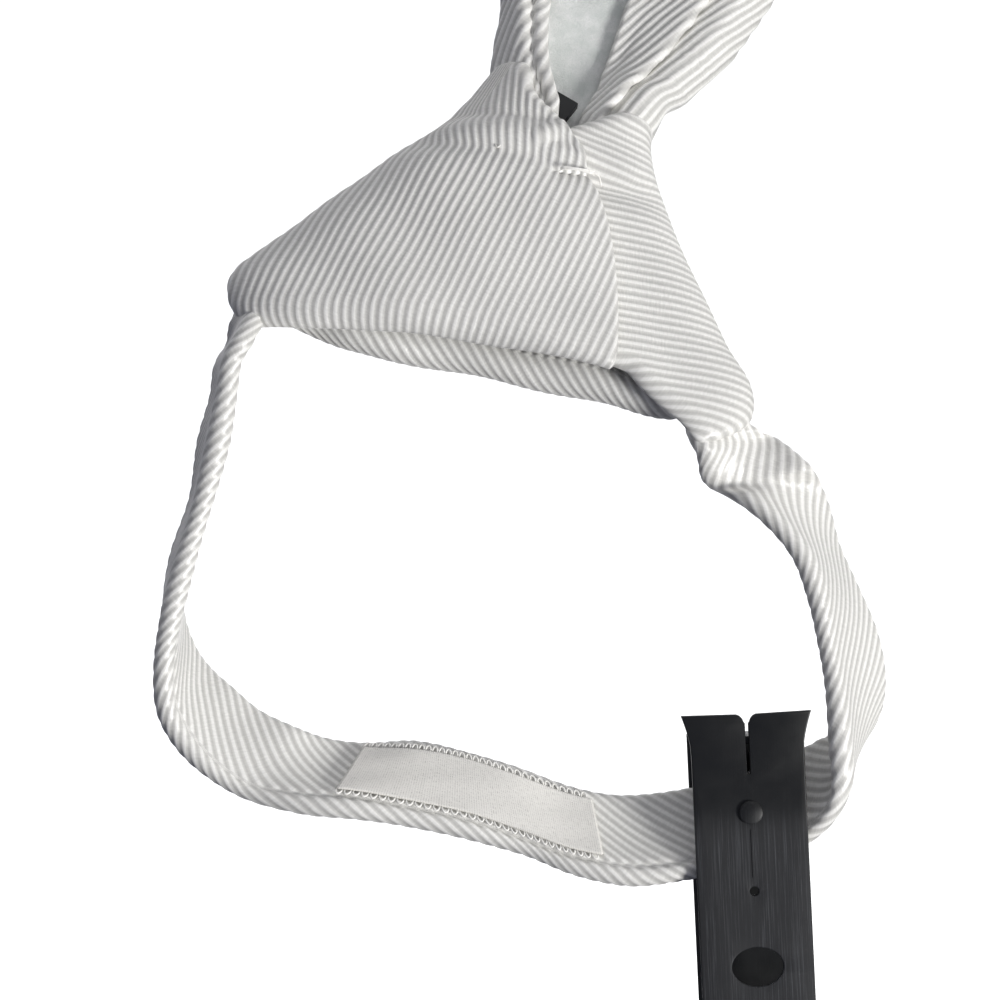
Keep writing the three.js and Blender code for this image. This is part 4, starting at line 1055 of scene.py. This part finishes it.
def buildStrap():
    radius = strap["gap"] / 2 + strap["wall"] / 2
    foldRun = math.pi * radius
    fromTop = strap["gap"] / 2
    end = fromTop - strap["front"]  # heights along the flat strip, 0 where the fold begins
    backEnd = foldRun + strap["back"] - fromTop
    oval = ellipse(strap["ovalWidth"], strap["ovalHeight"], fromTop - strap["ovalDrop"], 40)
    hole = ellipse(strap["holeWidth"], strap["holeWidth"], fromTop - strap["holeDrop"], 20)
    data = bpy.data.curves.new("strapOutline", "CURVE")
    data.dimensions = "2D"
    data.fill_mode = "BOTH"
    for points in (strapOutline(end, backEnd), oval, hole):
        spline = data.splines.new("POLY")
        spline.points.add(len(points) - 1)
        for point, (x, y) in zip(spline.points, points):
            point.co = (x * mm, y * mm, 0, 1)
        spline.use_cyclic_u = True
    data.extrude = (strap["wall"] / 2 - strap["edge"]) * mm
    data.bevel_depth = strap["edge"] * mm
    data.bevel_resolution = 2
    data.offset = -strap["edge"] * mm
    flat = bpy.data.objects.new("hangerStrap", data)
    bpy.context.scene.collection.objects.link(flat)
    bpy.ops.object.select_all(action="DESELECT")
    flat.select_set(True)
    bpy.context.view_layer.objects.active = flat
    bpy.ops.object.convert(target="MESH")
    flat = bpy.context.object
    bpy.ops.object.mode_set(mode="EDIT")
    bpy.ops.mesh.select_all(action="SELECT")
    bpy.ops.mesh.remove_doubles(threshold=0.004 * mm)
    cuts = list(np.linspace(0, foldRun, 25)) + [backEnd - 0.9, backEnd - 0.6, backEnd - 0.3]
    cuts += list(np.linspace(end + 7, -1.5, 14)) + list(np.linspace(foldRun + 2, backEnd - 3, 12))
    for height in cuts:
        bpy.ops.mesh.select_all(action="SELECT")
        bpy.ops.mesh.bisect(plane_co=(0, height * mm, 0), plane_no=(0, 1, 0))
    bpy.ops.mesh.select_all(action="SELECT")
    bpy.ops.mesh.normals_make_consistent(inside=False)
    bpy.ops.object.mode_set(mode="OBJECT")
    points = np.empty(len(flat.data.vertices) * 3)
    flat.data.vertices.foreach_get("co", points)
    x, run, out = (points.reshape(-1, 3) / mm).T
    turn = np.clip(run / radius, 0, math.pi)
    y = -(radius + out) * np.cos(turn)
    z = -fromTop + (radius + out) * np.sin(turn)
    z = z + np.where(run < 0, run, 0) - np.where(run > foldRun, run - foldRun, 0)
    flat.data.vertices.foreach_set("co", (np.stack([x, y, z], axis=1) * mm).ravel())
    flat.data.update()
    # the foot closes the gap at the lower end of the back leg, and the thin ridge runs down the front leg
    footSize = (strap["footWidth"], strap["gap"] + strap["wall"] / 2, strap["wall"])
    footMiddle = (0, strap["wall"] / 4, -strap["back"] + strap["wall"] / 2)
    foot = addBar("strapFoot", footSize, footMiddle, strap["edge"])
    ridgeSize = (strap["ridgeWidth"], strap["ridgeWidth"], strap["ridgeLength"])
    addBar("strapRidge", ridgeSize, (0, -fromTop - strap["wall"], -strap["ridgeDrop"]))
    foot.select_set(True)
    flat.select_set(True)
    bpy.context.view_layer.objects.active = flat
    bpy.ops.object.join()
    bpy.ops.object.shade_smooth_by_angle(angle=math.radians(35))
    flat.name = flat.data.name = "hangerStrap"
    finishPiece(flat, strapPlastic, ["hanger_strap"])


def buildStud():
    bpy.ops.object.select_all(action="DESELECT")
    depth = studButton["head"] + strap["wall"]
    bpy.ops.mesh.primitive_cylinder_add(vertices=64, radius=studButton["width"] / 2 * mm, depth=depth * mm,
                                        location=(0, 0, 0), rotation=(math.pi / 2, 0, 0))
    stud = bpy.context.object
    bpy.ops.object.transform_apply(rotation=True)
    bpy.ops.object.mode_set(mode="EDIT")
    bpy.ops.mesh.select_all(action="DESELECT")
    bpy.ops.object.mode_set(mode="OBJECT")
    for face in stud.data.polygons:
        face.select = face.normal.y < -0.9
    bpy.ops.object.mode_set(mode="EDIT")
    bpy.ops.mesh.select_mode(type="FACE")
    bpy.ops.mesh.bevel(offset=studButton["bevel"] * mm, segments=4)
    bpy.ops.mesh.inset(thickness=studButton["inset"] * mm)
    bpy.ops.transform.translate(value=(0, studButton["dish"] * mm, 0))
    bpy.ops.object.mode_set(mode="OBJECT")
    top = -(strap["gap"] / 2 + strap["wall"]) - studButton["head"]
    stud.data.transform(Matrix.Translation(Vector((0, top + depth / 2, -studButton["drop"])) * mm))
    bpy.ops.object.shade_smooth_by_angle(angle=math.radians(40))
    stud.name = stud.data.name = "hangerStud"
    finishPiece(stud, strapPlastic, ["hanger_stud"])


buildStrap()
buildStud()
print("strap and stud made")


# Threads: each is a round strand through a few points.
def addThreads(name, lines, radius):
    around = 7
    points, faces = [], []
    turn = np.linspace(0, 2 * math.pi, around, endpoint=False)
    for line in lines:
        line = np.asarray(line, float)
        along = unit(np.gradient(line, axis=0))
        side = unit(np.cross(along, np.array([0.3, 1.0, 0.2])))  # any direction that no strand runs in
        up = np.cross(along, side)
        ends = np.ones(len(line))
        ends[0] = ends[-1] = 0.4
        outward = side[:, None] * np.cos(turn)[None, :, None] + up[:, None] * np.sin(turn)[None, :, None]
        first = sum(len(p) for p in points)
        points.append((line[:, None] + radius * ends[:, None, None] * outward).reshape(-1, 3))
        faces += [[first + index for index in face] for face in tubeFaces(len(line), around)]
    return newPiece(name, np.vstack(points), faces, sewingThread)


# A point of the left back panel in the frame, lifted off the cloth by some mm.
def panelPoint(across, down, lift):
    centre, wide, deep = knotSection(down / knot["height"])
    y = -deep * np.sqrt(np.clip(1 - ((across - centre) / wide) ** 2, 0, 1)) - lift
    return knotToFrame(np.stack(np.broadcast_arrays(across, y, -down), axis=-1))


# The tack: a bar of stitches over the end of the seam, and a nub of thread left on the left panel.
# Its places are mm across the knot and down it.
tack = {"strands": 3, "apart": 0.15, "start": -2.4, "end": -6.0, "slope": -0.17, "rise": 0.2, "thread": 0.075,
        "tail": ((-5.8, 21.75), (-6.4, 21.8), (-6.9, 21.5)), "nub": (4.8, 22.7), "nubLength": 1.0}


def buildTack():
    lines = []
    count = 14
    tailAcross, tailDown = np.array(tack["tail"]).T
    for k in range(tack["strands"]):
        across = np.linspace(tack["start"], tack["end"], count)
        down = knot["tackDown"] - 0.14 + tack["apart"] * k + tack["slope"] * (across + 2.5)
        down = down + 0.05 * np.sin(np.linspace(0, 5, count) + k)
        lift = 0.1 + tack["rise"] * np.sin(np.linspace(0, math.pi, count))
        lift[[0, -1]] -= 0.25
        lines.append(panelPoint(across, down, lift))
        # each strand's tail goes under the cloth, the lower strands' tails closer together
        down = tailDown - np.array([0, 0, 0.12 * k])
        lines.append(smoothLine(panelPoint(tailAcross, down, np.array([0.1, -0.2, -1.2])), 10))
    along = np.linspace(0, tack["nubLength"], 12)
    across, down = tack["nub"]
    lift = 0.25 * np.sin(along * math.pi) - 0.45
    lines.append(panelPoint(across - along, down + 0.25 * np.sin(along * 9), lift))
    addThreads("tackStitch", lines, tack["thread"])


# The picot edge: a small loop of thread at every step along both of the label's edges.
def buildPicot():
    lines = []
    sweep = np.linspace(0, math.pi, 8)
    for middle in np.arange(0.4, label["length"] - 0.2, label["picotStep"]):
        along = middle + 0.38 * label["picotStep"] * np.cos(sweep)
        for edge, side in ((0.05, -1), (label["width"] - 0.05, 1)):
            down = edge + side * label["picot"] * np.sin(sweep)
            lines.append(labelSurface(along, down, label["lift"])[0])
    addThreads("labelPicot", lines, label["thread"])


buildTack()
buildPicot()
print("stitches made")


# Studio: a pale floor and backdrop, a large key on one side and a soft fill. Sizes in metres.
studio = {"floorDrop": 0.06, "floor": 4.0, "backdrop": 1.7, "backdropAt": 1.6, "world": "#dfe4ff",
          "worldStrength": 0.11}


def addStage():
    bpy.ops.object.select_all(action="DESELECT")
    material, tree, shader = newMaterial("palePaper")
    grain = addNode(tree, "TexNoise", inputs={"Scale": 60.0})
    bump = addNode(tree, "Bump", inputs={"Height": grain, "Strength": 0.05})
    setInputs(shader, {"Base Color": linear("#fbfbfb"), "Roughness": 0.9, "Normal": bump})
    lowest = cadBounds[0][2] - studio["floorDrop"]
    bpy.ops.mesh.primitive_plane_add(size=studio["floor"], location=(0, 0, lowest))
    floor = bpy.context.object
    floor.name = "floor"
    bpy.ops.mesh.primitive_plane_add(size=studio["backdrop"], location=(0, studio["backdropAt"], 0),
                                     rotation=(math.pi / 2, 0, 0))
    backdrop = bpy.context.object
    backdrop.name = "backdrop"
    for piece in (floor, backdrop):
        piece.data.materials.append(material)


def addArea(name, place, target, size, power, colour="#ffffff"):
    data = bpy.data.lights.new(name, "AREA")
    data.shape = "DISK"
    data.size = size
    data.energy = power
    data.color = linear(colour)[:3]
    lamp = bpy.data.objects.new(name, data)
    bpy.context.scene.collection.objects.link(lamp)
    lamp.location = place
    lamp.rotation_euler = (Vector(target) - Vector(place)).to_track_quat("-Z", "Y").to_euler()


def addLights():
    middle = (0.0, 0.0, -0.08)
    addArea("keyLight", (-0.7, -0.62, 0.3), middle, 0.3, 10.2, "#fffefc")
    addArea("fillLight", (0.3, -1.2, 0.1), middle, 0.9, 0.5, "#e6eaff")
    addArea("backdropLight", (0.0, 0.9, 0.55), (0.0, 1.6, -0.05), 0.6, 11.0)
    world = bpy.data.worlds.new("studio")
    world.use_nodes = True
    setInputs(world.node_tree.nodes["Background"], {0: linear(studio["world"]), 1: studio["worldStrength"]})
    bpy.context.scene.world = world
    bpy.context.scene.view_settings.view_transform = "Standard"


addStage()
addLights()
print("studio made")
